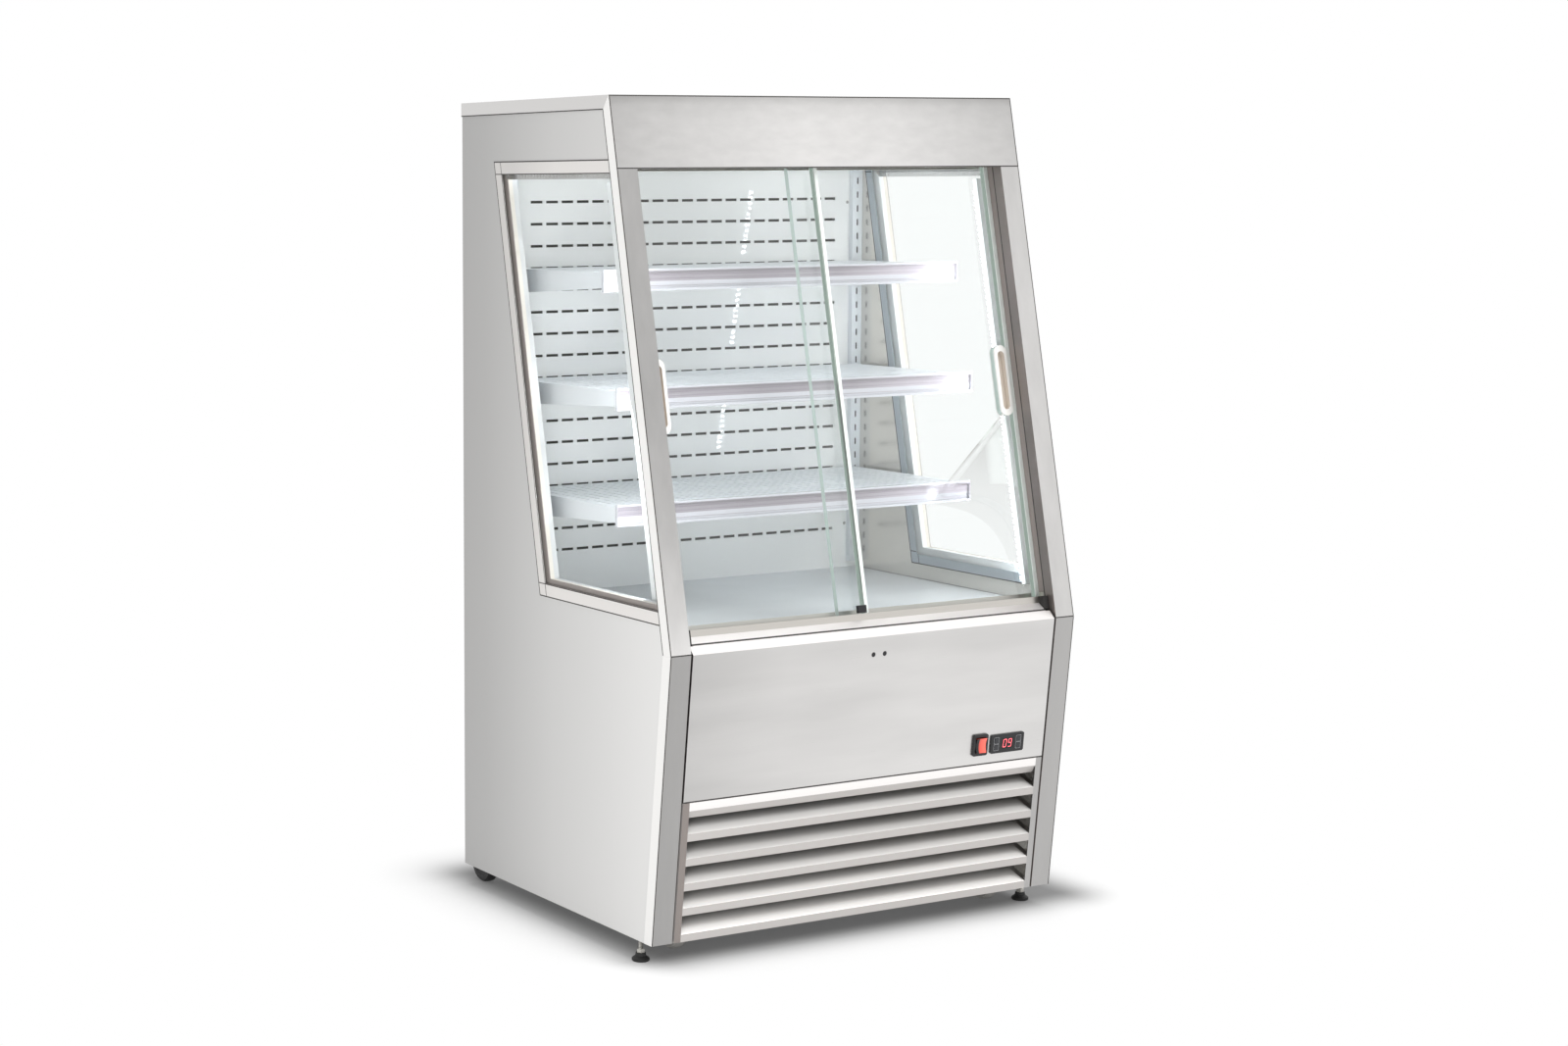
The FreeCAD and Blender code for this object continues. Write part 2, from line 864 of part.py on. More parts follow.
def door(x0, x1, depth, stile_left, stile_right):
    """Glass, frame and handle pocket of one sliding door."""
    z0 = door_foot_height
    z1 = door_head_height
    d0 = depth
    d1 = depth + door_thickness
    pieces = [
        block(x0, x1, d0, d1, z0, z0 + door_rail),
        block(x0, x1, d0, d1, z1 - door_rail, z1),
    ]
    glass_left = x0
    glass_right = x1
    if stile_left:
        pieces.append(block(x0, x0 + door_stile, d0, d1, z0, z1))
        glass_left = x0 + door_stile
    if stile_right:
        pieces.append(block(x1 - door_stile, x1, d0, d1, z0, z1))
        glass_right = x1 - door_stile
    frame = fused(pieces)
    glass = block(
        glass_left, glass_right, d0 + door_glass_inset, d1 - door_glass_inset,
        z0 + door_rail, z1 - door_rail,
    )
    return glass, frame


def stadium(x, z, width, length, y0, y1):
    """A slab with round ends, upright, between two depths."""
    radius = width / 2
    straight = length / 2 - radius
    body = block(x - radius, x + radius, y0, y1, z - straight, z + straight)
    ends = []
    for end in (-1, 1):
        place = Vector(x, y0, z + end * straight)
        ends.append(Part.makeCylinder(radius, y1 - y0, place, Vector(0, 1, 0)))
    return fused([body] + ends)


def handle(x, depth):
    """Recessed oval finger pull set through the glass."""
    y0 = depth - handle_proud
    y1 = depth + door_thickness + handle_back_proud
    shell = stadium(x, handle_height, handle_width, handle_length, y0, y1)
    pocket_width = handle_width - 2 * handle_wall
    pocket_length = handle_length - 2 * (handle_wall + handle_pocket_end)
    pocket = stadium(
        x, handle_height, pocket_width, pocket_length, y0 - past, y0 + handle_pocket
    )
    return shell.cut(pocket)


def handle_hole(x, depth):
    width = handle_width + 2 * handle_clearance
    length = handle_length + 2 * handle_clearance
    y1 = depth + door_thickness + past
    return stadium(x, handle_height, width, length, depth - past, y1)


# ---- interior -------------------------------------------------------------
def air_panel():
    """Back panel with rows of short slots that feed the cold air."""
    x1 = inner_x - glass_clearance
    plate = block(
        -x1, x1, air_panel_y, air_panel_y + sheet, deck_height - deck_flange, roof_underside
    )
    slots = []
    for row in range(slot_rows):
        z = lowest_slot + row * slot_pitch_z
        for column in range(slot_columns):
            x = (column - (slot_columns - 1) / 2) * slot_pitch_x
            slots.append(
                block(
                    x - slot_length / 2, x + slot_length / 2, air_panel_y - past,
                    air_panel_y + sheet + past, z - slot_height / 2, z + slot_height / 2,
                )
            )
    return plate.cut(Part.makeCompound(slots))


def shelf_upright():
    """U-shaped standard that stands against the back panel."""
    x1 = inner_x - glass_clearance
    x0 = x1 - upright_width
    y0 = air_panel_y - upright_depth
    z1 = roof_underside - upright_head_gap
    channel = block(x0, x1, y0, air_panel_y, upright_foot, z1)
    hollow = block(
        x0 + upright_sheet, x1 - upright_sheet, y0 + upright_sheet, air_panel_y + past,
        upright_foot - past, z1 + past,
    )
    return channel.cut(hollow)


def shelf_places(level, depth):
    y1 = air_panel_y - upright_depth - shelf_rear_gap
    y0 = y1 - depth + rail_depth
    return y0, y1, level


def shelf(level, depth):
    y0, y1, z1 = shelf_places(level, depth)
    x1 = shelf_half
    plate = block(-x1, x1, y0, y1, z1 - shelf_sheet, z1)
    front_turn = block(-x1, x1, y0, y0 + shelf_sheet, z1 - shelf_flange, z1)
    rear_turn = block(-x1, x1, y1 - shelf_sheet, y1, z1 - shelf_flange / 2, z1)
    cheek = block(x1 - shelf_sheet, x1, y0, y1, z1 - shelf_flange / 2, z1)
    return fused([plate, front_turn, rear_turn, cheek, mirrored(cheek)])


def shelf_bracket(level, depth):
    """Tapered side bracket whose tail stands on the upright."""
    y0, y1, z1 = shelf_places(level, depth)
    tail = air_panel_y - upright_depth
    outline = [
        (y0, z1),
        (y0, z1 - bracket_front_height),
        (tail - bracket_tail, z1 - bracket_rear_height),
        (tail, z1 - bracket_rear_height),
        (tail, z1),
    ]
    x0 = shelf_half
    return prism_x(outline, x0, x0 + bracket_sheet)


def price_rail(level, depth):
    """Ticket rail: a shallow channel with turned lips along the front."""
    y1 = shelf_places(level, depth)[0]
    y0 = y1 - rail_depth
    z1 = level + rail_above_shelf
    z0 = z1 - rail_height
    lip = rail_lip + rail_sheet
    outline = [
        (y0, z0),
        (y1, z0),
        (y1, z1),
        (y0, z1),
        (y0, z1 - lip),
        (y0 + rail_sheet, z1 - lip),
        (y0 + rail_sheet, z1 - rail_sheet),
        (y1 - rail_sheet, z1 - rail_sheet),
        (y1 - rail_sheet, z0 + rail_sheet),
        (y0 + rail_sheet, z0 + rail_sheet),
        (y0 + rail_sheet, z0 + lip),
        (y0, z0 + lip),
    ]
    x1 = shelf_half + bracket_sheet
    rail = prism_x(outline, -x1, x1)
    cap = block(x1, x1 + rail_sheet, y0, y1, z0, z1)
    return fused([rail, cap, mirrored(cap)])


def deck():
    """Stainless base deck with a row of return-air slots at the front."""
    y0 = tilt_point(track_back, inner_lip_height)[0] + glass_clearance
    y1 = air_panel_y - glass_clearance
    x1 = inner_x - glass_clearance
    z1 = deck_height
    plate = block(-x1, x1, y0, y1, z1 - sheet, z1)
    front_turn = block(-x1, x1, y0, y0 + sheet, z1 - deck_flange, z1)
    rear_turn = block(-x1, x1, y1 - sheet, y1, z1 - deck_flange, z1)
    cheek = block(x1 - sheet, x1, y0, y1, z1 - deck_flange, z1)
    body = fused([plate, front_turn, rear_turn, cheek, mirrored(cheek)])
    cuts = []
    pitch = 2 * (x1 - deck_slot_border) / deck_slot_count
    for k in range(deck_slot_count):
        x = -x1 + deck_slot_border + pitch * (k + 0.5)
        w = deck_slot_length / 2
        slot_y = y0 + deck_slot_setback
        low = z1 - sheet - past
        cuts.append(block(x - w, x + w, slot_y, slot_y + deck_slot_width, low, z1 + past))
    return body.cut(Part.makeCompound(cuts))


def led_strip():
    """Light strip fixed to the jamb behind the doors."""
    depth = track_back + led_gap
    body = block(inner_x - led_width, inner_x, depth, depth + led_depth, led_foot, led_head)
    middle_x = inner_x - led_width / 2
    middle_y = depth + led_depth / 2
    edges = [
        e for e in body.Edges
        if e.BoundBox.ZLength > led_depth and e.BoundBox.XMax < middle_x
        and e.BoundBox.YMin > middle_y
    ]
    return tilted(body.makeChamfer(led_chamfer, edges))


# ---- cooling unit ---------------------------------------------------------
def fan(x, y, z, hub_radius, tip_radius):
    """Axial fan: a bored hub with flat pitched blades, axis along Y."""
    far = Vector(0, hub_length, 0)
    hub = faceted_rod(Vector(0, 0, 0), far, hub_radius, 2 * blade_count)
    room = hub_length - blade_thickness - blade_end_play
    reach = room / math.sin(math.radians(blade_pitch_angle))
    root = hub_radius - blade_root_lap
    half_root = min(hub_radius * blade_root_share, reach / 2)
    half_tip = reach / 2
    low = -blade_thickness / 2
    corners = [
        Vector(-half_root, low, root),
        Vector(half_root, low, root),
        Vector(half_tip, low, tip_radius),
        Vector(-half_tip, low, tip_radius),
    ]
    outline = Part.Face(Part.makePolygon(corners + corners[:1]))
    blades = []
    for k in range(blade_count):
        blade = outline.extrude(Vector(0, blade_thickness, 0))
        blade.rotate(Vector(0, 0, 0), Vector(0, 0, 1), blade_pitch_angle)
        blade.translate(Vector(0, hub_length / 2, 0))
        blade.rotate(Vector(0, 0, 0), Vector(0, 1, 0), k * 360.0 / blade_count)
        blades.append(blade)
    body = hub.fuse(blades)
    bore = rod(
        Vector(0, -past, 0), Vector(0, hub_length + past, 0), shaft_radius + shaft_clearance
    )
    body = body.cut(bore).removeSplitter()
    body.translate(Vector(x, y, z))
    return body


def coil_block(x0, x1, y0, y1, z0, z1):
    """Coil body between two end plates that stand a little proud."""
    inset = coil_plate_proud
    core = block(x0, x1, y0 + inset, y1 - inset, z0 + inset, z1 - inset)
    plates = [
        block(x0, x0 + coil_plate, y0, y1, z0, z1),
        block(x1 - coil_plate, x1, y0, y1, z0, z1),
    ]
    return fused([core] + plates)


def evaporator():
    y0 = front + evaporator_place
    y1 = y0 + evaporator_depth
    z0 = floor_underside + floor_thickness
    z1 = z0 + evaporator_height
    w = evaporator_width / 2
    coil = coil_block(-w, w, y0, y1, z0, z1)
    plate_y = y0 - evaporator_plate
    plate = block(-w, w, plate_y, y0, z0, z1)
    zc = (z0 + z1) / 2
    motors = []
    for side in (-1, 1):
        x = side * fan_spacing / 2
        start = Vector(x, plate_y - evaporator_motor_length, zc)
        m = motor_half_small
        motors.append(block(x - m, x + m, start.y, plate_y, zc - m, zc + m))
        tip = Vector(x, start.y - hub_length - shaft_end, zc)
        motors.append(rod(tip, start, shaft_radius))
    return fused([coil, plate] + motors)


def evaporator_fan(side):
    motor_y = front + evaporator_place - evaporator_plate - evaporator_motor_length
    y0 = motor_y - shaft_end - hub_length
    zc = floor_underside + floor_thickness + evaporator_height / 2
    return fan(side * fan_spacing / 2, y0, zc, evaporator_hub_radius, evaporator_fan_radius)


def condenser():
    y0 = front + condenser_place
    y1 = y0 + condenser_depth
    z0 = pan_height + pan_sheet
    z1 = z0 + condenser_height
    x0 = condenser_x - condenser_width / 2
    x1 = condenser_x + condenser_width / 2
    coil = coil_block(x0, x1, y0, y1, z0, z1)
    zc = (z0 + z1) / 2
    plate = block(x0, x1, y1, y1 + sheet, z0, z1)
    hole = faceted_rod(
        Vector(condenser_x, y1 - past, zc), Vector(condenser_x, y1 + sheet + past, zc),
        shroud_radius, shroud_sides,
    )
    plate = plate.cut(hole)
    motor_y = y1 + condenser_motor_length
    m = motor_half_large
    motor = block(
        condenser_x - m, condenser_x + m, y1 - coil_plate_proud, motor_y, zc - m, zc + m
    )
    shaft = rod(
        Vector(condenser_x, motor_y, zc),
        Vector(condenser_x, motor_y + hub_length + shaft_end, zc),
        shaft_radius,
    )
    return fused([coil, plate, motor, shaft])


def condenser_fan():
    y0 = front + condenser_place + condenser_depth + condenser_motor_length + shaft_end
    zc = pan_height + pan_sheet + condenser_height / 2
    return fan(condenser_x, y0, zc, condenser_hub_radius, condenser_fan_radius)


def compressor():
    """Hermetic compressor: a domed can on a base plate with rubber feet."""
    z0 = pan_height + pan_sheet
    y = front + compressor_place
    r = compressor_radius
    base_z = z0 + compressor_foot
    can_z = base_z + compressor_plate
    shoulder = can_z + compressor_height - compressor_dome
    centre = Vector(compressor_x, y, can_z)
    top = Vector(compressor_x, y, shoulder)
    can = faceted_rod(centre, top, r, can_sides)
    up = Vector(0, 0, 1)
    dome = faceted_rod(top, top + up * compressor_dome, r - compressor_step, can_sides)
    spread_x = r + compressor_flange
    spread_y = r - compressor_flange
    plate = block(
        compressor_x - spread_x, compressor_x + spread_x, y - spread_y, y + spread_y,
        base_z, can_z,
    )
    feet = []
    half = compressor_foot_width / 2
    for sx in (-1, 1):
        for sy in (-1, 1):
            fx = compressor_x + sx * (spread_x - compressor_foot_width)
            fy = y + sy * (spread_y - compressor_foot_width)
            feet.append(block(fx - half, fx + half, fy - half, fy + half, z0, base_z))
    box_z = can_z + terminal_box_lift
    box = block(
        compressor_x + r - terminal_box_sink, compressor_x + r + terminal_box_depth,
        y - terminal_box_width / 2, y + terminal_box_width / 2,
        box_z, box_z + terminal_box_width,
    )
    return fused([can, dome, plate, box] + feet)


def pipe(points):
    """Copper tube along straight runs whose ends lap at the corners."""
    runs = []
    for start, end in zip(points, points[1:]):
        way = end.sub(start).normalize() * tube_radius
        head = start if start == points[0] else start.sub(way)
        tail = end if end == points[-1] else end.add(way)
        runs.append(faceted_rod(head, tail, tube_radius, tube_sides))
    return fused(runs)


def pipework():
    """Discharge line to the condenser and suction line to the evaporator."""
    y = front + compressor_place
    top = pan_height + pan_sheet + compressor_foot + compressor_plate + pipe_lift
    r = compressor_radius
    coil_x = condenser_x + condenser_width / 2
    coil_y = front + condenser_place + condenser_depth / 2
    discharge = pipe([
        Vector(compressor_x, y - r, top),
        Vector(compressor_x, coil_y, top),
        Vector(coil_x, coil_y, top),
    ])
    suction_y = y + r + pipe_standoff
    suction = pipe([
        Vector(compressor_x, y + r, top),
        Vector(compressor_x, suction_y, top),
        Vector(compressor_x, suction_y, floor_underside),
    ])
    return discharge, suction


def drain_tray():
    z0 = pan_height + pan_sheet
    y1 = back - tray_rear_gap
    y0 = y1 - tray_depth
    x0 = -inner_x + tray_side_gap
    x1 = x0 + tray_width
    tray = block(x0, x1, y0, y1, z0, z0 + tray_height)
    t = tray_sheet
    hollow = block(x0 + t, x1 - t, y0 + t, y1 - t, z0 + t, z0 + tray_height + past)
    return tray.cut(hollow)


# ---- base and castors -----------------------------------------------------
def base_pan():
    z0 = pan_height
    x1 = inner_x
    y0 = front + pan_front
    plate = block(-x1, x1, y0, back, z0, z0 + pan_sheet)
    front_turn = block(-x1, x1, y0, y0 + pan_sheet, z0, z0 + pan_lip)
    return fused([plate, front_turn])


class Castor:
    """Places of one castor: kingpin, axle, wheel radius and crown gap."""

    def __init__(self, name, x, y, trail, radius, lift, gap):
        self.name = name
        self.x = x
        self.y = y
        self.trail = trail
        self.radius = radius
        self.axle_y = y + trail
        self.axle_z = lift + radius
        self.gap = gap
        self.swivels = gap > 0


def castors():
    rear_y = back + wheel_overhang - wheel_radius_rear - castor_trail
    front_y0 = front + front_castor_place
    result = []
    for side, sign in (("left", -1), ("right", 1)):
        result.append(
            Castor(
                "rear_" + side, sign * rear_castor_x, rear_y, castor_trail,
                wheel_radius_rear, 0.0, 0.0,
            )
        )
        result.append(
            Castor(
                "front_" + side, sign * front_castor_x, front_y0, -castor_trail,
                wheel_radius_front, front_wheel_lift, castor_gap,
            )
        )
    return result


def castor_wheel(castor):
    """Plain tyre with a bored hub, the hub a little wider than the tread."""
    start = Vector(castor.x - wheel_width / 2, castor.axle_y, castor.axle_z)
    along = Vector(1, 0, 0)
    tyre = Part.makeCylinder(castor.radius, wheel_width, start, along)
    bore = Part.makeCylinder(axle_radius + axle_clearance, wheel_width, start, along)
    return tyre.cut(bore)


def castor_fork(castor):
    """Two cheeks with the axle between them, under a crown."""
    crown_top = pan_height - castor_plate - castor.gap
    crown_z = castor.axle_z + castor.radius + crown_clearance
    inside = wheel_width / 2 + wheel_side_gap
    outside = inside + fork_sheet
    toward = 1 if castor.trail > 0 else -1
    outline = [
        (castor.y + toward * crown_half, crown_top),
        (castor.y - toward * crown_half, crown_top),
        (castor.axle_y - toward * fork_reach, castor.axle_z),
        (castor.axle_y, castor.axle_z - fork_reach),
        (castor.axle_y + toward * fork_reach, castor.axle_z),
    ]
    x = castor.x
    cheek_a = prism_x(outline, x + inside, x + outside)
    cheek_b = prism_x(outline, x - outside, x - inside)
    crown = block(
        x - outside, x + outside, castor.y - crown_half, castor.y + crown_half,
        crown_z, crown_top,
    )
    axle = rod(
        Vector(x - outside, castor.axle_y, castor.axle_z),
        Vector(x + outside, castor.axle_y, castor.axle_z),
        axle_radius,
    )
    pieces = [cheek_a, cheek_b, crown, axle]
    if castor.swivels:
        top = Vector(x, castor.y, pan_height + pan_sheet)
        pieces.append(rod(Vector(x, castor.y, crown_top), top, kingpin_radius))
    return fused(pieces)


def castor_plates():
    """Mounting plates under the pan, one above each crown."""
    plates = []
    half = castor_plate_size / 2
    for castor in castors():
        x1 = min(castor.x + half, inner_x)
        x0 = max(castor.x - half, -inner_x)
        plates.append(
            block(x0, x1, castor.y - half, castor.y + half, pan_height - castor_plate, pan_height)
        )
    return plates


def kingpin_holes():
    holes = []
    for castor in castors():
        if castor.swivels:
            low = Vector(castor.x, castor.y, pan_height - castor_plate - past)
            high = Vector(castor.x, castor.y, pan_height + pan_sheet + past)
            holes.append(rod(low, high, kingpin_radius + kingpin_clearance))
    return Part.makeCompound(holes)


def levelling_foot(side):
    """Threaded stem with a hexagon nut standing on a round pad."""
    x = side * foot_x
    y = front + foot_place
    pad = Part.makeCylinder(foot_pad_radius, foot_pad_height, Vector(x, y, 0))
    corner = foot_nut_across / math.sqrt(3)
    hexagon = []
    for k in range(6):
        a = math.radians(60 * k)
        hexagon.append(Vector(x + corner * math.cos(a), y + corner * math.sin(a), foot_pad_height))
    nut = Part.Face(Part.makePolygon(hexagon + hexagon[:1])).extrude(Vector(0, 0, foot_nut_height))
    stem = Part.makeCylinder(
        foot_stem_radius, foot_stem_length, Vector(x, y, foot_pad_height)
    )
    return fused([pad, nut, stem])


os.makedirs("parts", exist_ok=True)

foot_y = front + foot_place
stem_top = foot_pad_height + foot_stem_length + past
foot_hole = rod(
    Vector(foot_x, foot_y, skirt_clearance - past), Vector(foot_x, foot_y, stem_top),
    foot_stem_radius + axle_clearance,
)
right_wall = side_wall().cut(foot_hole)
save("side_wall_right", right_wall)
save("side_wall_left", mirrored(right_wall))
glass_parts = side_glass()
save("side_glass", *glass_parts, *[mirrored(s) for s in glass_parts])
frame_parts = window_frame()
save("window_frames", *frame_parts, *[mirrored(s) for s in frame_parts])
save("roof_panel", roof_panel())
save("top_cap", top_cap())
save("fascia", fascia())
save("rear_wall", rear_wall())
save("rear_grille", rear_grille())
save("floor_tub", floor_tub())
save("base_pan", fused([base_pan()] + castor_plates()).cut(kingpin_holes()))

upper = pillar(knee_height, fascia_bottom, pillar_inner_return)
lower = pillar(skirt_clearance, knee_height, lower_inner_return)
save("pillar_upper_right", upper)
save("pillar_upper_left", mirrored(upper))
save("lower_pillars", lower, mirrored(lower))
save("louvre_grille", louvre_grille())
save("lower_front_panel", lower_front_panel())
save("panel_plugs", *panel_plugs())
save("switch_bezel", switch_bezel())
save("switch_rocker", switch_rocker())
save("thermostat_body", thermostat_body())
for number, place in enumerate(key_places(), start=1):
    save("thermostat_key_%d" % number, thermostat_key(*place))

save("door_sill", door_sill())
save("bottom_track", bottom_track())
save("top_track", top_track())
save("door_seals", *door_seals(), *track_end_blocks())

left_x0 = -door_edge_x
left_x1 = door_meeting_x
glass, frame = door(left_x0, left_x1, outer_door_depth, True, True)
grip_x = left_x0 + handle_edge_distance
save("door_left_glass", tilted(glass.cut(handle_hole(grip_x, outer_door_depth))))
shoe_z = outer_lip_height + shoe_lift
shoe = block(
    left_x1 - shoe_width - door_stile, left_x1 - door_stile, track_front - shoe_reach,
    outer_door_depth, shoe_z, shoe_z + shoe_height,
)
save("door_left_frame", tilted(frame.fuse(shoe).removeSplitter()))
save("door_left_handle", tilted(handle(grip_x, outer_door_depth)))

right_x1 = door_edge_x
right_x0 = door_meeting_x - door_overlap
glass, frame = door(right_x0, right_x1, inner_door_depth, False, True)
grip_x = right_x1 - handle_edge_distance
save("door_right_glass", tilted(glass.cut(handle_hole(grip_x, inner_door_depth))))
save("door_right_frame", tilted(frame))
save("door_right_handle", tilted(handle(grip_x, inner_door_depth)))

save("air_panel", air_panel())
upright = shelf_upright()
save("shelf_uprights", upright, mirrored(upright))
brackets = []
rails = []
for name, level, depth in zip(("lower", "middle", "upper"), shelf_levels, shelf_depths):
    save("shelf_" + name, shelf(level, depth))
    bracket = shelf_bracket(level, depth)
    brackets.extend([bracket, mirrored(bracket)])
    rails.append(price_rail(level, depth))
save("shelf_brackets", *brackets)
save("price_rails", *rails)
save("deck", deck())
strip = led_strip()
save("led_strips", strip, mirrored(strip))

save("evaporator", evaporator())
save("evaporator_fan_left", evaporator_fan(-1))
save("evaporator_fan_right", evaporator_fan(1))
save("condenser", condenser())
save("condenser_fan", condenser_fan())
save("compressor", compressor())
save("pipework", *pipework())
save("drain_tray", drain_tray())

brackets = []
for castor in castors():
    save("castor_wheel_" + castor.name, castor_wheel(castor))
    if castor.trail > 0:
        brackets.append(castor_fork(castor))
    else:
        save("castor_fork_" + castor.name, castor_fork(castor))
save("rear_castor_brackets", *brackets)
save("levelling_foot_left", levelling_foot(-1))
save("levelling_foot_right", levelling_foot(1))
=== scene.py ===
"""Display fridge with two sliding glass doors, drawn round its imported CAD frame."""

import json
import math

import bmesh
import bpy
from mathutils import Matrix, Vector


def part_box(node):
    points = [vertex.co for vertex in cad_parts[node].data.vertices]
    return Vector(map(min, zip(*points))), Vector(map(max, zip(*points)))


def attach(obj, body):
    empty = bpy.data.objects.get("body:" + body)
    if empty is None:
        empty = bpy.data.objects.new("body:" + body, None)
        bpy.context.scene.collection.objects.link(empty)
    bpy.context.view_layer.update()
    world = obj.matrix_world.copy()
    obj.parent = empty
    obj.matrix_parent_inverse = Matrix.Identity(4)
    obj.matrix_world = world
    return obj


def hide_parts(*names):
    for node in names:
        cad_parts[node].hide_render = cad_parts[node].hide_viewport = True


bl_info = {
    "name": "Display fridge",
    "version": (1, 0, 0),
    "blender": (4, 5, 0),
    "location": "3D View > Sidebar > Display fridge",
    "description": "Dresses the packed display fridge and lays its stage",
    "category": "Add Mesh",
}

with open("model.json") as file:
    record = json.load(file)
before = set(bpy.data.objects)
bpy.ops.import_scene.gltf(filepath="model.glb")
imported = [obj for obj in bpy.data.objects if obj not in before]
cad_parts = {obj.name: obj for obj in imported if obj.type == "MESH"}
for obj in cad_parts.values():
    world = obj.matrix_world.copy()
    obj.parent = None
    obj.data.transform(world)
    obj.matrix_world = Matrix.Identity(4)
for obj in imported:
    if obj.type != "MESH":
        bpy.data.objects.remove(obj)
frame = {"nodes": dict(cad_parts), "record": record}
MM = 0.001
KNEE = Vector((0.0, -0.383, 0.566))
SLOPE = math.radians(11.776)
BACKWARD = Vector((0.0, math.cos(SLOPE), -math.sin(SLOPE)))
RISE = Vector((0.0, math.sin(SLOPE), math.cos(SLOPE)))
PANEL_LEAN = math.atan2(57.0, 524.0)
BODY_OF = {
    node: body
    for body, nodes in frame["record"]["behaviour"]["bodies"].items()
    for node in nodes
}


def size(node):
    """Lowest corner, highest corner and middle of a CAD node."""
    low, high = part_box(node)
    return low, high, (low + high) / 2


def tilted(x, depth, rise):
    """A point counted from the knee, square to the slanted front and up along it."""
    return KNEE + Vector((x, 0.0, 0.0)) + BACKWARD * depth + RISE * rise


def on_panel(x, z, depth=0.0):
    """A point on the lower front panel, which leans the other way."""
    y = KNEE.y + math.tan(PANEL_LEAN) * (KNEE.z - z)
    normal = Vector((0.0, math.cos(PANEL_LEAN), math.sin(PANEL_LEAN)))
    return Vector((x, y, z)) + normal * depth


def panel_matrix(x, z, depth=0.0):
    """Turns a piece drawn upright in x and z to lie on the lower front panel."""
    return Matrix.Translation(on_panel(x, z, depth)) @ Matrix.Rotation(PANEL_LEAN, 4, "X")


def door_matrix(x, depth, rise):
    """Turns a piece drawn upright in x and z to lie in the slanted front."""
    return Matrix.Translation(tilted(x, depth, rise)) @ Matrix.Rotation(-SLOPE, 4, "X")


X, Y, Z = Vector((1, 0, 0)), Vector((0, 1, 0)), Vector((0, 0, 1))
INTO_PANEL = Vector((0, 1, math.tan(PANEL_LEAN)))
FRONT, LEFT, RIGHT = -BACKWARD, -X, X
WHITE = (1, 1, 1, 1)
SHELF_LEVELS = (797, 1008, 1219)  # upper faces of the shelves in millimetres
# bands of a ticket rail, counted down from its top in millimetres, and their materials
RAIL_TOP = 5  # above the shelf
RAIL_BANDS = ((0, 3.4, 1), (10.5, 11.9, 2), (17.5, 18.9, 2), (22.5, 40, 1), (30.4, 31.4, 0))
SPACER_STEPS = (434, 442.4)  # where white turns to cream and cream to the seal, in millimetres
WELD = 0.01 * MM  # joins the tiles of a slotted sheet
WINDOW_TOP = 1.3  # corners higher than this belong to the upper edge of a window
COIL_BLOCKS = {  # ends of each coil along X, Y and Z in millimetres
    "condenser": ((-306, 6), (-258, -203), (102, 372)),
    "evaporator": ((-306, 306), (-53, 67), (470, 554)),
}


def band_x(low, high, facing, index=-1):
    """A narrow strip of a piece's surface between two planes across X."""
    return X, low, high, facing, index


def band_z(low, high, facing, index=-1):
    return Z, low, high, facing, index


def band_depth(low, high, facing, index=-1):
    """A strip between two depths counted square to the slanted front."""
    base = BACKWARD.dot(KNEE)
    return BACKWARD, base + low, base + high, facing, index


# ---- sizes and colours that a user changes --------------------------------
def length(name, description, default, least, most):
    """A setting kept in metres, its values given in millimetres."""
    return bpy.props.FloatProperty(
        name=name, description=description, default=default * MM, min=least * MM,
        max=most * MM, unit="LENGTH",
    )


def number(name, description, default, least, most):
    return bpy.props.IntProperty(
        name=name, description=description, default=default, min=least, max=most,
    )


def tint(name, description, default):
    return bpy.props.FloatVectorProperty(
        name=name, description=description, default=default, size=3, min=0, max=1,
        subtype="COLOR",
    )


class FridgeSettings(bpy.types.PropertyGroup):
    edge: length("Edge softness", "Width of the softened sheet edges", 0.7, 0.1, 2)
    shelf_slot_width: length("Shelf slot width", "Width of one slot in a shelf", 5, 2, 10)
    shelf_slot_columns: number("Shelf slot columns", "Slots side by side in a shelf", 34, 10, 60)
    shelf_slot_rows: number("Shelf slot rows", "Slots one behind another in a shelf", 3, 1, 6)
    standard_pitch: length(
        "Standard pitch", "Distance between slots of a shelf standard", 28, 20, 50,
    )
    fin_pitch: length("Fin pitch", "Distance between the fins of a coil", 5, 3, 12)
    diode_pitch: length("Diode pitch", "Distance between the diodes of a light strip", 12, 8, 40)
    display: number("Display", "Number that the thermostat shows", 9, 0, 99)
    paint: tint("Side paint", "Colour of the painted side walls", (0.66, 0.655, 0.645))
    steel: tint("Steel", "Colour of the brushed front sheets", (0.66, 0.65, 0.64))
    glass: tint("Glass tint", "What the panes let through", (0.975, 0.992, 0.987))
    glow: bpy.props.FloatProperty(
        name="Light strength", description="Brightness of the light strips",
        default=40.0, min=0, max=100,
    )


def settings():
    return bpy.context.scene.fridge


# ---- materials ------------------------------------------------------------
looks = {}


def rgb(red, green, blue):
    """A colour given by its screen values from 0 to 255."""
    out = []
    for value in (red, green, blue):
        v = value / 255
        out.append(v / 12.92 if v <= 0.04045 else ((v + 0.055) / 1.055) ** 2.4)
    return (*out, 1.0)


def blank(name):
    material = bpy.data.materials.new(name)
    material.use_nodes = True
    material.node_tree.nodes.clear()
    return material, material.node_tree


def add(tree, kind, inputs=(), **options):
    """A node whose inputs are plain values or the outputs of other nodes."""
    node = tree.nodes.new(kind)
    for option, value in options.items():
        setattr(node, option, value)
    for key, value in dict(inputs).items():
        if isinstance(value, bpy.types.NodeSocket):
            tree.links.new(value, node.inputs[key])
        else:
            node.inputs[key].default_value = value
    return node


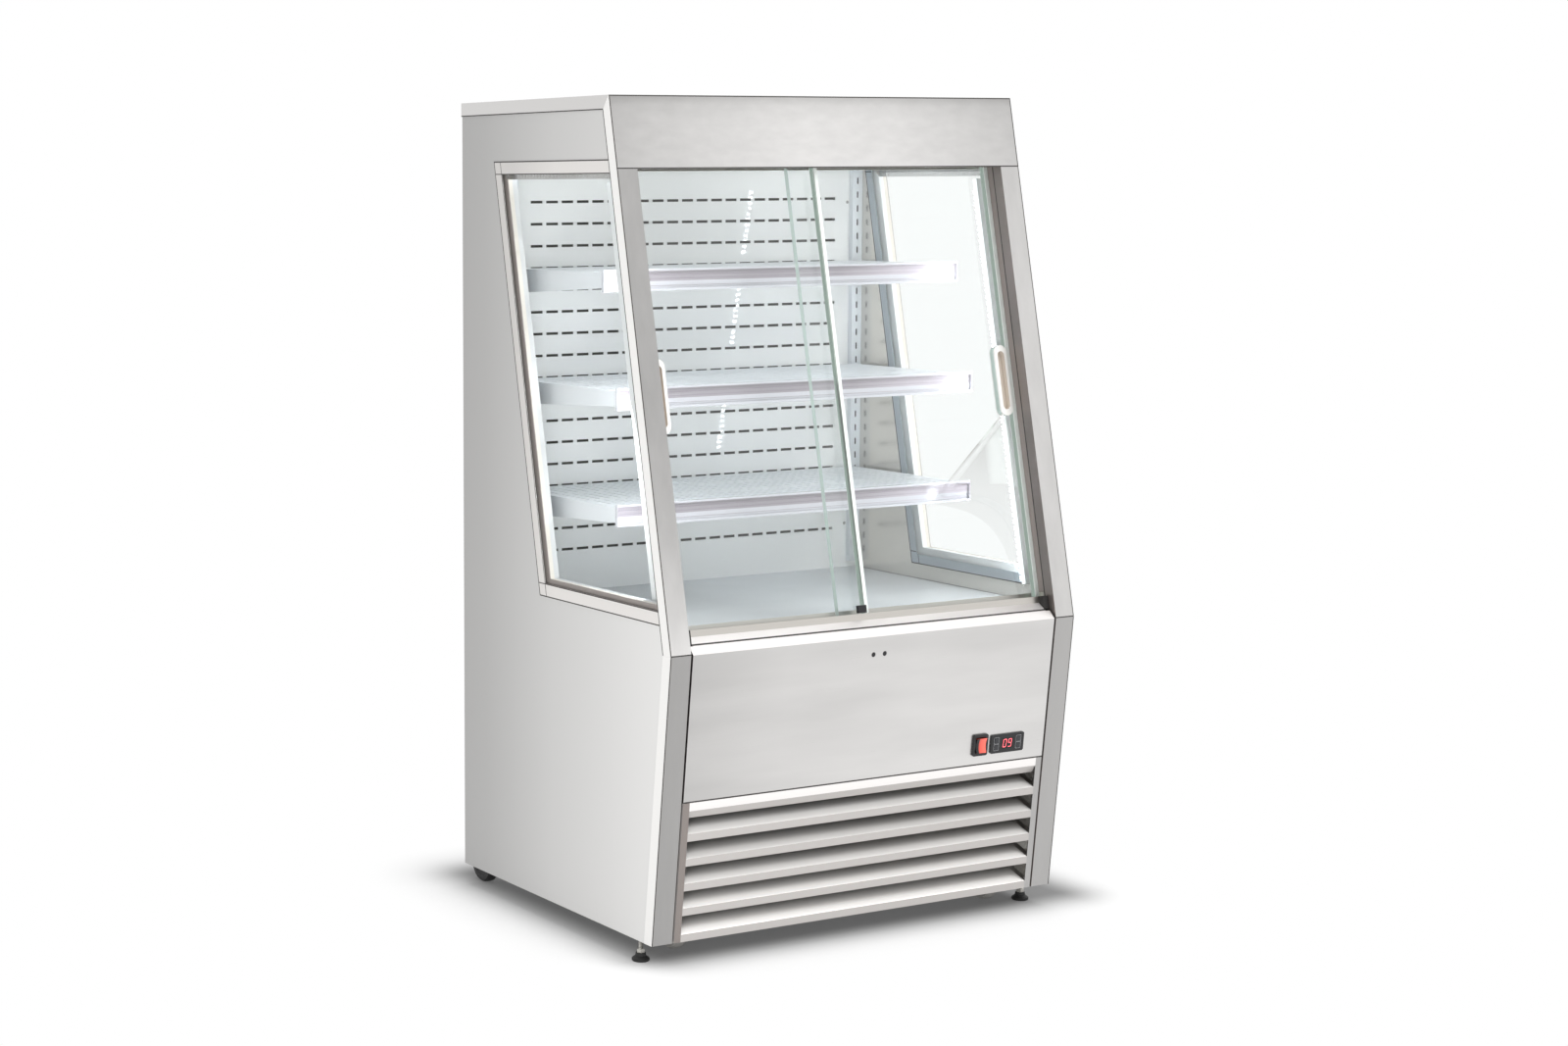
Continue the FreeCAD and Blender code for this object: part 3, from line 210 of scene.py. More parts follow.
def noise(tree, stretch, detail=3.0):
    """Noise on the object's own coordinates, stretched by a share for all or for each axis."""
    if isinstance(stretch, int):
        stretch = (stretch, stretch, stretch)
    coords = add(tree, "ShaderNodeTexCoord").outputs["Object"]
    place = add(tree, "ShaderNodeMapping", {"Vector": coords, "Scale": stretch}).outputs["Vector"]
    values = {"Vector": place, "Scale": 1.0, "Detail": detail}
    return add(tree, "ShaderNodeTexNoise", values).outputs["Fac"]


def spread(tree, source, low, high):
    """Stretches the middle half of a noise to the range from low to high."""
    values = {"Value": source, "From Min": 0.25, "From Max": 0.75, "To Min": low, "To Max": high}
    return add(tree, "ShaderNodeMapRange", values).outputs["Result"]


def painted_gradient(tree, source, axis, stops):
    """Multiplies a colour by shares that change along one object direction: painted light and
    shade.
    """
    coords = add(tree, "ShaderNodeTexCoord").outputs["Object"]
    along = add(tree, "ShaderNodeVectorMath", {0: coords, 1: axis}, operation="DOT_PRODUCT")
    low, high = stops[0][0], stops[-1][0]
    values = {"Value": along.outputs["Value"], "From Min": low, "From Max": high}
    place = add(tree, "ShaderNodeMapRange", values).outputs["Result"]
    curve = add(tree, "ShaderNodeFloatCurve", {"Value": place})
    line = curve.mapping.curves[0]
    top = max(share for position, share in stops)
    while len(line.points) < len(stops):
        line.points.new(0.5, 0.5)
    for point, (position, share) in zip(line.points, stops):
        point.location = ((position - low) / (high - low), share / top)
        point.handle_type = "VECTOR"
    curve.mapping.update()
    values = {0: curve.outputs["Value"], 1: top}
    raised = add(tree, "ShaderNodeMath", values, operation="MULTIPLY").outputs["Value"]
    values = {0: source, "Scale": raised}
    return add(tree, "ShaderNodeVectorMath", values, operation="SCALE").outputs["Vector"]


def finish(
    name, colour, rough, metal=0.0, grain=90, vary=0.05, bump=0.05, cloud=None, coat=0.0,
    coat_rough=0.08, glow=None, strength=0.0, painted_light=(), depth=0.2 * MM,
):
    """A look of one colour whose gloss and relief change a little from place to place; shares along
    object axes add painted light and shade.
    """
    looks[name], tree = blank(name)
    shader = add(tree, "ShaderNodeBsdfPrincipled", {
        "Base Color": colour, "Metallic": metal, "Roughness": rough, "Coat Weight": coat,
        "Coat Roughness": coat_rough,
    })
    if glow:
        shader.inputs["Emission Color"].default_value = glow
        shader.inputs["Emission Strength"].default_value = strength
    texture = noise(tree, grain)
    linked = {"Roughness": spread(tree, texture, rough - vary, rough + vary)}
    if bump:
        values = {"Height": texture, "Strength": bump, "Distance": depth}
        linked["Normal"] = add(tree, "ShaderNodeBump", values).outputs["Normal"]
    if cloud or painted_light:
        stretch, low, high = cloud or (None, 1.0, 1.0)
        tones = {"Factor": spread(tree, noise(tree, stretch), 0.0, 1.0) if cloud else 0.0}
        for key, share in (("A", low), ("B", high)):
            tones[key] = [min(c * share, 1.0) for c in colour[:3]] + [1.0]
        tone = add(tree, "ShaderNodeMix", tones, data_type="RGBA").outputs[2]
        # painted light and shade: the colour made brighter or darker along object axes
        for axis, stops in painted_light:
            tone = painted_gradient(tree, tone, axis, stops)
        linked["Base Color"] = tone
    for key, source in linked.items():
        tree.links.new(source, shader.inputs[key])
    add(tree, "ShaderNodeOutputMaterial", {"Surface": shader.outputs["BSDF"]})


def pane(name, tint, shine=1.85):
    """Clear glass: it lets light through, and mirrors more at a low angle."""
    looks[name], tree = blank(name)
    clear = add(tree, "ShaderNodeBsdfTransparent", {"Color": tint}).outputs["BSDF"]
    gloss = add(tree, "ShaderNodeBsdfGlossy", {"Color": WHITE, "Roughness": 0.01}).outputs["BSDF"]
    share = add(tree, "ShaderNodeFresnel", {"IOR": 1.5}).outputs["Fac"]
    behind = add(tree, "ShaderNodeNewGeometry").outputs["Backfacing"]
    for whole in (1.0, shine):
        facing = add(tree, "ShaderNodeMath", {0: whole, 1: behind}, operation="SUBTRACT")
        share = add(
            tree, "ShaderNodeMath", {0: share, 1: facing.outputs["Value"]}, operation="MULTIPLY",
            use_clamp=True,
        ).outputs["Value"]
    mix = add(tree, "ShaderNodeMixShader", {0: share, 1: clear, 2: gloss}).outputs["Shader"]
    add(tree, "ShaderNodeOutputMaterial", {"Surface": mix})


def build_materials():
    s = settings()
    steel = (*s.steel, 1.0)
    # Darker copies of the steel for the pillars: painted shade.
    shaded_steel, dark = [(*[c * share for c in s.steel], 1.0) for share in (0.80, 0.62)]
    face = INTO_PANEL.dot(KNEE)
    across = (4, 700, 700)
    upward = (700, 700, 5)
    # Painted light and shade: the side paint brighter at the front, darker towards the back.
    finish(
        "side_paint", (*s.paint, 1.0), 0.42, grain=500, bump=0.08, painted_light=(
            (Y, ((-0.383, 1.14), (-0.28, 1.1), (0.01, 0.95), (0.26, 0.72), (0.349, 0.68))),
        ),
    )
    # Painted light: the liner brighter low down and towards the right.
    finish(
        "liner_paint", rgb(234, 235, 234), 0.4, grain=60, coat=0.6, coat_rough=0.02,
        bump=0.0,
        painted_light=(
            (X, ((-0.4, 1.0), (-0.05, 1.0), (0.12, 1.08), (0.4, 1.06))),
            (Z, ((0.58, 1.18), (0.75, 1.13), (1.0, 1.01), (1.4, 1.04))),
        ),
    )
    finish("liner_steel", rgb(222, 218, 211), 0.2, 0.85, grain=(5, 300, 300), vary=0.05, bump=0.02)
    # Painted shade at the left end and painted light low down on the front panel.
    finish(
        "steel", steel, 0.34, 1.0, across, 0.07, 0.10, cloud=((2.2, 14, 14), 0.92, 1.08),
        painted_light=(
            (X, ((-0.403, 0.86), (-0.2, 1.0), (0.1, 1.06), (0.403, 1.03))),
            (Z, ((0.3, 1.06), (0.4, 1.03), (0.54, 1.0))),
        ),
    )
    # Painted light and shade: the fascia brightest in the middle, darker at both ends and along its
    # top edge.
    finish(
        "steel_fascia", steel, 0.34, 1.0, 160, 0.06, 0.12,
        cloud=((26, 60, 60), 0.96, 1.05), painted_light=(
            (X, ((-0.45, 0.84), (-0.36, 0.95), (-0.05, 1.2), (0.16, 1.16), (0.45, 0.9))),
            (Z, ((1.405, 1.03), (1.49, 1.0), (1.518, 0.92), (1.535, 0.7))),
        ),
    )
    finish("steel_cap", steel, 0.36, 1.0, across, 0.06, 0.08)
    # Lighter copy of the steel for the outer side returns: painted light.
    finish("steel_return_lit", rgb(244, 243, 241), 0.4, 0.85, upward, 0.05, 0.05)
    # Painted light and shade: the left pillar brightest low down, darker higher up.
    finish(
        "steel_upright", shaded_steel, 0.36, 1.0, upward, 0.07, 0.10,
        cloud=((40, 40, 12), 0.95, 1.05), painted_light=(
            (Z, ((0.566, 1.55), (0.64, 1.28), (0.8, 0.98), (1.0, 0.86), (1.405, 0.92))),
        ),
    )
    # Lighter copy of the pillar steel for the right pillar: painted light.
    finish(
        "steel_right_lit", shaded_steel, 0.36, 1.0, upward, 0.07, 0.10,
        cloud=((40, 40, 12), 0.95, 1.05), painted_light=(
            (Z, ((0.566, 1.24), (0.8, 1.27), (1.2, 1.28), (1.405, 1.18))),
        ),
    )
    # Painted light: the lower pillars brighter towards the right.
    finish(
        "steel_low", dark, 0.38, 1.0, upward, 0.06, 0.10, cloud=((14, 14, 2.5), 0.94, 1.06),
        painted_light=((X, ((-0.45, 1.02), (0.45, 1.16))),),
    )
    # Darker copy of the steel for the inner returns and the left grille rail: painted shade.
    finish("steel_jamb_shade", rgb(150, 142, 138), 0.4, 0.8, upward, 0.06, 0.06)
    # Painted shade: the window strips darker towards the back.
    finish(
        "steel_strip", rgb(230, 227, 224), 0.38, 0.7, upward, 0.05, 0.05,
        painted_light=((Y, ((-0.3, 1.0), (0.0, 0.98), (0.15, 0.82))),),
    )
    finish("frame_inner", rgb(174, 183, 189), 0.36, 0.4, upward, 0.05, 0.05)
    # Dark lines: joints, and the painted shadow in the bottom track's groove.
    finish("joint", rgb(60, 58, 56), 0.6, grain=300, bump=0.0)
    # Dark inner face of the back wall behind the air slots: painted shade.
    finish("plenum_shade", rgb(92, 92, 84), 0.7, grain=60, bump=0.0)
    finish("steel_blade", rgb(190, 186, 183), 0.4, 0.3, across, 0.06, 0.10)
    # Lighter copy for the blade tops: painted shade towards their back, painted light on the lower
    # blades.
    finish(
        "blade_top_light_shade", rgb(255, 253, 250), 0.45, 0.0, across, 0.06, 0.08, painted_light=(
            (INTO_PANEL, ((face, 1.0), (face + 0.018, 0.86), (face + 0.05, 0.2))),
            (Z, ((0.05, 1.25), (0.1, 1.12), (0.16, 0.92), (0.22, 0.82), (0.28, 1.02))),
        ),
    )
    # Lighter copy of the steel for upward folds, the sill and the grille head: painted light.
    finish("steel_fold_lit", rgb(250, 247, 245), 0.36, 0.75, across, 0.05, 0.05)
    # Painted light: the deck brighter right of the middle.
    finish(
        "zinc", rgb(208, 211, 213), 0.4, 0.35, (5, 260, 260), 0.05, 0.05,
        cloud=((6, 9, 6), 0.95, 1.04), painted_light=(
            (X, ((-0.4, 1.06), (-0.1, 1.06), (0.06, 1.3), (0.2, 1.34), (0.4, 1.1))),
        ),
    )
    finish("aluminium", rgb(208, 204, 198), 0.33, 1.0, across, 0.05, 0.05)
    # Painted shade: the spacer darker on the left window.
    finish(
        "spacer", rgb(244, 246, 246), 0.4, 0.0, 300, 0.06, 0.04,
        painted_light=((X, ((-0.43, 0.72), (-0.4, 0.72), (0.4, 1.0))),),
    )
    finish("spacer_cream", rgb(226, 221, 212), 0.45, grain=300)
    finish("glass_edge", rgb(192, 208, 201), 0.18, 0.0, 80, 0.05, 0.0)
    finish("glass_rim", rgb(196, 214, 204), 0.2, 0.0, 80, 0.05, 0.0)
    pane("window_glass", (*[c ** 0.2 for c in s.glass], 1.0), 0.2)
    pane("door_glass", (*[math.sqrt(c) for c in s.glass], 1.0))
    finish("shelf_paint", rgb(232, 236, 240), 0.38, grain=200, bump=0.05, coat=0.2)
    # Painted light: the ticket rails and their lines brighter towards the right.
    finish(
        "rail_plastic", rgb(164, 158, 165), 0.25, grain=(3, 120, 120), bump=0.03, coat=0.5,
        painted_light=((X, ((-0.403, 1.05), (-0.1, 0.98), (0.12, 1.0), (0.26, 1.42), (0.403, 1.34))),),
    )
    finish("rail_lip", rgb(206, 206, 213), 0.2, grain=(3, 120, 120), bump=0.03, coat=0.6)
    finish(
        "rail_line", rgb(140, 132, 142), 0.3, grain=(3, 120, 120), bump=0.0, coat=0.4,
        painted_light=((X, ((-0.403, 1.1), (0.12, 1.0), (0.26, 1.5), (0.403, 1.4))),),
    )
    finish("door_strip", rgb(234, 240, 236), 0.3, grain=140, coat=0.3)
    # Side face of the door stile glowing a little: painted light where it lies in shade.
    finish(
        "strip_side_glow", rgb(206, 213, 208), 0.3, grain=140, coat=0.3,
        glow=rgb(206, 213, 208), strength=0.4,
    )
    finish("strip_line", rgb(122, 134, 126), 0.4, grain=140, bump=0.0)
    finish("pull_white", rgb(248, 247, 243), 0.34, grain=140)
    finish("pull_recess", rgb(218, 209, 198), 0.45, grain=140)
    finish("seal_grey", rgb(150, 141, 137), 0.5, grain=200)
    finish("light", rgb(250, 252, 255), 0.4, bump=0.0, glow=rgb(244, 250, 255), strength=s.glow)
    finish("strip_body", rgb(236, 239, 240), 0.4, 0.0, (200, 200, 20))
    finish(
        "strip_lens", rgb(240, 243, 245), 0.4, 0.0, (200, 200, 20),
        glow=rgb(250, 252, 255), strength=0.8,
    )
    finish("black_rubber", rgb(38, 37, 36), 0.62, grain=250)
    finish("black_plastic", rgb(27, 27, 29), 0.38, grain=350)
    # Near-black for hollows that lie in shade: painted shade.
    finish("shade_black", rgb(14, 14, 14), 0.8, grain=50)
    finish("key_plastic", rgb(46, 47, 50), 0.42, grain=400)
    finish("mark", rgb(176, 177, 180), 0.5, grain=400, bump=0.0)
    finish("display_glass", rgb(12, 7, 8), 0.12, grain=90, bump=0.0)
    finish("digit", rgb(255, 120, 130), 0.4, bump=0.0, glow=rgb(255, 84, 98), strength=1.2)
    # Painted highlight: a bright band across the rocker, darker to either side.
    finish(
        "red_plastic", rgb(214, 84, 70), 0.22, grain=220, bump=0.03, coat=0.4,
        glow=rgb(255, 100, 84), strength=0.3, painted_light=(
            (X, ((0.243, 0.35), (0.251, 1.0), (0.258, 1.5), (0.262, 1.0), (0.268, 0.5))),
        ),
    )
    finish("coil", rgb(200, 202, 204), 0.35, 0.9, (40, 40, 300))
    finish("compressor_paint", rgb(34, 34, 36), 0.35, grain=120)
    finish("copper", rgb(196, 120, 84), 0.3, 1.0, 60, 0.1)
    finish("tray_plastic", rgb(60, 61, 63), 0.5, grain=250)
    finish("wheel_grey", rgb(158, 156, 152), 0.5, grain=200)
    finish("wheel_black", rgb(34, 34, 34), 0.5, grain=200)
    finish("foot_black", rgb(28, 28, 28), 0.55, grain=200)
    finish("screw_steel", rgb(176, 174, 170), 0.3, 1.0, 600)
    finish("zinc_fork", rgb(190, 188, 182), 0.32, 1.0, 90, 0.08)


def look(name):
    if not looks:
        build_materials()
    return looks[name]


# ---- making pieces --------------------------------------------------------
def linked(name, data):
    """A new object in the scene."""
    obj = bpy.data.objects.new(name, data)
    bpy.context.scene.collection.objects.link(obj)
    return obj


def claim(obj, stands_for=()):
    """Parents a piece to its body's empty and hides the CAD nodes that it replaces."""
    body = BODY_OF[stands_for[0]] if stands_for else "cabinet"
    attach(obj, body)
    if stands_for:
        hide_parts(*stands_for)
    return obj


def put(name, bm, materials, *stands_for):
    """One finished piece at the origin, its place held by its vertices."""
    mesh = mesh_of(bm, name)
    for material in materials:
        mesh.materials.append(look(material))
    return claim(linked(name, mesh), stands_for)


def applied(obj):
    """Turns the object's modifiers into its mesh."""
    bpy.context.view_layer.update()
    graph = bpy.context.evaluated_depsgraph_get()
    mesh = bpy.data.meshes.new_from_object(obj.evaluated_get(graph))
    obj.modifiers.clear()
    obj.data = mesh
    return obj


def soften(obj, width, segments=2, angle=30.0):
    """Rounds the sharp edges by a small width and shades the rest flat."""
    for polygon in obj.data.polygons:
        polygon.use_smooth = True
    bevel = obj.modifiers.new("Edges", "BEVEL")
    bevel.width = width
    bevel.segments = segments
    bevel.limit_method = "ANGLE"
    bevel.angle_limit = math.radians(angle)
    bevel.use_clamp_overlap = True
    weighted = obj.modifiers.new("Normals", "WEIGHTED_NORMAL")
    weighted.keep_sharp = True
    return applied(obj)


def mesh_of(bm, name):
    bmesh.ops.recalc_face_normals(bm, faces=bm.faces)
    mesh = bpy.data.meshes.new(name)
    bm.to_mesh(mesh)
    bm.free()
    return mesh


def merged_copy(node, split=None, bands=()):
    """The CAD node's own shape with joined triangles, its finishes chosen by place."""
    bm = bmesh.new()
    bm.from_mesh(frame["nodes"][node].data)
    bmesh.ops.remove_doubles(bm, verts=bm.verts, dist=0.01 * MM)
    bmesh.ops.recalc_face_normals(bm, faces=bm.faces)
    for normal, low, high, facing, index in bands:
        for level in (low, high):
            bmesh.ops.bisect_plane(
                bm, geom=bm.verts[:] + bm.edges[:] + bm.faces[:], dist=0.001 * MM,
                plane_co=normal * level, plane_no=normal,
            )
    for face in bm.faces:
        middle = face.calc_center_median()
        if split:
            face.material_index = split(middle, face.normal)
        for normal, low, high, facing, index in bands:
            if low < normal.dot(middle) < high and face.normal.dot(facing) > 0.5:
                face.material_index = index
    bmesh.ops.dissolve_limit(
        bm, angle_limit=math.radians(0.4), verts=bm.verts, edges=bm.edges,
        use_dissolve_boundaries=False, delimit={"MATERIAL"},
    )
    return bm


def dress(node, materials, width=None, split=None, segments=2, bands=()):
    """Replaces a CAD node by the same shape with soft edges and its finish.

    A band without an index of its own is a dark line: a joint, or in the bottom track's groove a
    painted shadow.
    """
    materials = [*materials, "joint"] if bands else materials
    last = len(materials) - 1
    bands = [(*band[:4], last if band[4] < 0 else band[4]) for band in bands]
    obj = put(node + "_finish", merged_copy(node, split, bands), materials, node)
    return soften(obj, width or settings().edge, segments)


def paint(node, material):
    """Leaves the CAD node as it is and gives it a finish."""
    mesh = frame["nodes"][node].data
    mesh.materials.clear()
    mesh.materials.append(look(material))


def add_box(bm, x0, x1, y0, y1, z0, z1, index=0, matrix=None):
    low = Vector((min(x0, x1), min(y0, y1), min(z0, z1)))
    high = Vector((max(x0, x1), max(y0, y1), max(z0, z1)))
    place = Matrix.Translation((low + high) / 2) @ Matrix.Diagonal((*(high - low), 1.0))
    if matrix:
        place = matrix @ place
    made = bmesh.ops.create_cube(bm, size=1.0, matrix=place)
    for face in {f for v in made["verts"] for f in v.link_faces}:
        face.material_index = index


def add_outline(bm, points, shift, index=0):
    """A flat outline pushed along shift into a closed solid."""
    low = [bm.verts.new(p) for p in points]
    high = [bm.verts.new(Vector(p) + Vector(shift)) for p in points]
    faces = [bm.faces.new(low), bm.faces.new(high[::-1])]
    count = len(points)
    for k in range(count):
        n = (k + 1) % count
        faces.append(bm.faces.new((low[k], high[k], high[n], low[n])))
    for face in faces:
        face.material_index = index


def add_lathe(bm, profile, place, steps=32, indices=None):
    """Turns (radius, height) points about the local Z axis of place."""
    rings = []
    for radius, height in profile:
        if radius < 1e-6:
            rings.append([bm.verts.new(place @ Vector((0, 0, height)))])
            continue
        ring = []
        for k in range(steps):
            a = 2 * math.pi * k / steps
            point = Vector((radius * math.cos(a), radius * math.sin(a), height))
            ring.append(bm.verts.new(place @ point))
        rings.append(ring)
    for level in range(len(rings) - 1):
        a, b = rings[level], rings[level + 1]
        for k in range(steps):
            n = (k + 1) % steps
            if len(a) == 1 and len(b) == 1:
                continue
            if len(a) == 1:
                face = bm.faces.new((a[0], b[n], b[k]))
            elif len(b) == 1:
                face = bm.faces.new((a[k], a[n], b[0]))
            else:
                face = bm.faces.new((a[k], a[n], b[n], b[k]))
            face.smooth = True
            if indices:
                face.material_index = indices[level]


def sharpen(mesh, angle=35.0):
    """Smooth shading that keeps the corners sharper than an angle."""
    for polygon in mesh.polygons:
        polygon.use_smooth = True
    mesh.set_sharp_from_angle(angle=math.radians(angle))


def turned(axis, point):
    """Matrix whose local Z axis lies along one of the axes, at a point."""
    turn = {
        "X": Matrix.Rotation(math.pi / 2, 4, "Y"),
        "-Y": Matrix.Rotation(math.pi / 2, 4, "X"),
        "Y": Matrix.Rotation(-math.pi / 2, 4, "X"),
        "Z": Matrix.Identity(4),
    }[axis]
    return Matrix.Translation(point) @ turn


# ---- repeats by Geometry Nodes --------------------------------------------
def new_tree(name, sockets):
    """A tree with named inputs, and what its inputs and its item give."""
    tree = bpy.data.node_groups.new(name, "GeometryNodeTree")
    tree.interface.new_socket("Geometry", in_out="OUTPUT", socket_type="NodeSocketGeometry")
    for label, kind in (*sockets, ("Item", "Object"), ("Finish", "Material")):
        tree.interface.new_socket(label, in_out="INPUT", socket_type="NodeSocket" + kind)
    given = add(tree, "NodeGroupInput").outputs
    item = add(tree, "GeometryNodeObjectInfo", {"Object": given["Item"]})
    return tree, given, item.outputs["Geometry"]


def placed(tree, points, item):
    """The item on each point, as real geometry."""
    instances = add(tree, "GeometryNodeInstanceOnPoints", {"Points": points, "Instance": item})
    real = add(tree, "GeometryNodeRealizeInstances", {"Geometry": instances.outputs["Instances"]})
    return real.outputs["Geometry"]


def coated(tree, geometry, material):
    """Gives the result its material and ends the tree."""
    coat = add(tree, "GeometryNodeSetMaterial", {"Geometry": geometry, "Material": material})
    add(tree, "NodeGroupOutput", {"Geometry": coat.outputs["Geometry"]})
    return tree


def grid_tree(name):
    """Columns and rows of one item, joined into a mesh with one material."""
    tree, given, flow = new_tree(name, (
        ("Columns", "Int"), ("Column step", "Vector"), ("Rows", "Int"), ("Row step", "Vector"),
        ("Weld", "Float"),
    ))
    for count, step in (("Columns", "Column step"), ("Rows", "Row step")):
        values = {"Count": given[count], "Offset": given[step]}
        line = add(tree, "GeometryNodeMeshLine", values, mode="OFFSET")
        flow = placed(tree, line.outputs["Mesh"], flow)
    weld = add(tree, "GeometryNodeMergeByDistance", {"Geometry": flow, "Distance": given["Weld"]})
    return coated(tree, weld.outputs["Geometry"], given["Finish"])


def points_tree(name):
    """One item on each vertex of the host mesh."""
    tree, given, item = new_tree(name, [("Geometry", "Geometry")])
    return coated(tree, placed(tree, given["Geometry"], item), given["Finish"])


def run_tree(tree_name, build, name, host_mesh, item_mesh, material, values, stands_for=()):
    """Sets the tree's inputs, keeps the evaluated mesh and drops the modifier."""
    item = linked(name + "_item", item_mesh)
    host = linked(name, host_mesh)
    tree = bpy.data.node_groups.get(tree_name) or build(tree_name)
    modifier = host.modifiers.new("Repeat", "NODES")
    modifier.node_group = tree
    given = dict(values, Item=item, Finish=look(material))
    for socket in tree.interface.items_tree:
        if socket.in_out == "INPUT" and socket.name in given:
            modifier[socket.identifier] = given[socket.name]
    applied(host)
    bpy.data.objects.remove(item)
    sharpen(host.data)
    return claim(host, stands_for)


def repeat(name, item_mesh, columns, column_step, rows, row_step, material, *stands_for, weld=0.0):
    """Columns and rows of an item."""
    values = {
        "Columns": columns, "Column step": column_step, "Rows": rows, "Row step": row_step,
        "Weld": weld,
    }
    host = bpy.data.meshes.new(name)
    run_tree("Item grid", grid_tree, name, host, item_mesh, material, values, stands_for)


def place_on(name, points, item_mesh, material):
    """An item on each of the points."""
    host = bpy.data.meshes.new(name)
    host.from_pydata([tuple(p) for p in points], [], [])
    run_tree("Item on points", points_tree, name, host, item_mesh, material, {})


def screw_head(axis, radius=3.2 * MM, height=1.1 * MM):
    """Low domed head with a cross recess."""
    bm = bmesh.new()
    place = turned(axis, (0, 0, 0))
    profile = [
        (radius, 0.0), (radius, height * 0.35), (radius * 0.8, height * 0.8),
        (radius * 0.42, height), (radius * 0.36, height * 0.45), (0.0, height * 0.3),
    ]
    add_lathe(bm, profile, place, 14)
    return mesh_of(bm, "screw_head")


def holed_tile(width, length, slot_width, slot_length, thick, along, inward):
    """Sheet tile across X with one round-ended slot and open outer borders."""
    bm = bmesh.new()
    outer = [(-0.5, -0.5), (0.5, -0.5), (0.5, 0.5), (-0.5, 0.5)]
    rim = [X * (a * width) + along * (b * length) for a, b in outer]
    hole = []
    r = slot_width / 2
    for end in (1, -1):
        for k in range(5):
            t = math.radians(45 * k) if end > 0 else math.radians(180 + 45 * k)
            rise = end * (slot_length / 2 - r) + r * math.sin(t)
            hole.append(X * (r * math.cos(t)) + along * rise)
    for depth in (0.0, thick):
        shift = inward * depth
        rim_verts = [bm.verts.new(p + shift) for p in rim]
        hole_verts = [bm.verts.new(p + shift) for p in hole]
        edges = []
        for ring in (rim_verts, hole_verts):
            for k in range(len(ring)):
                edges.append(bm.edges.new((ring[k], ring[(k + 1) % len(ring)])))
        bmesh.ops.triangle_fill(bm, use_beauty=True, use_dissolve=False, edges=edges)
        if depth == 0.0:
            upper = hole_verts
        else:
            for k in range(len(hole)):
                n = (k + 1) % len(hole)
                bm.faces.new((upper[k], upper[n], hole_verts[n], hole_verts[k]))
    return mesh_of(bm, "tile")


# ---- the fridge, group by group -------------------------------------------
class FRIDGE_OT_cabinet(bpy.types.Operator):
    """Side walls, roof, back, floor and base pan"""

    bl_idname = "fridge.cabinet"
    bl_label = "Cabinet body"

    def execute(self, context):
        inner = abs(size("side_wall_right")[0].x)

        def side(middle, normal):
            inside = abs(abs(middle.x) - inner) < 0.5 * MM and abs(normal.x) > 0.9
            return 1 if inside else 0

        for node in ("side_wall_left", "side_wall_right"):
            dress(node, ["side_paint", "liner_steel"], split=side)
        dress(
            "roof_panel", ["liner_paint", "side_paint"],
            split=lambda middle, normal: 1 if normal.y > 0.5 else 0,
        )
        low, high = size("rear_wall")[:2]
        line = 1.2 * MM
        # The inner face gets the dark painted shade behind the air slots.
        dress(
            "rear_wall", ["side_paint", "plenum_shade"],
            split=lambda middle, normal: 1 if normal.y < -0.5 else 0,
            bands=(
                band_z(low.z, low.z + line, Y), band_z(high.z - line, high.z, Y),
                band_x(low.x, low.x + line, Y), band_x(high.x - line, high.x, Y),
            ),
        )
        dress("floor_tub", ["liner_steel"])
        dress("base_pan", ["zinc"], 0.3 * MM)
        paint("rear_grille", "side_paint")
        return {"FINISHED"}


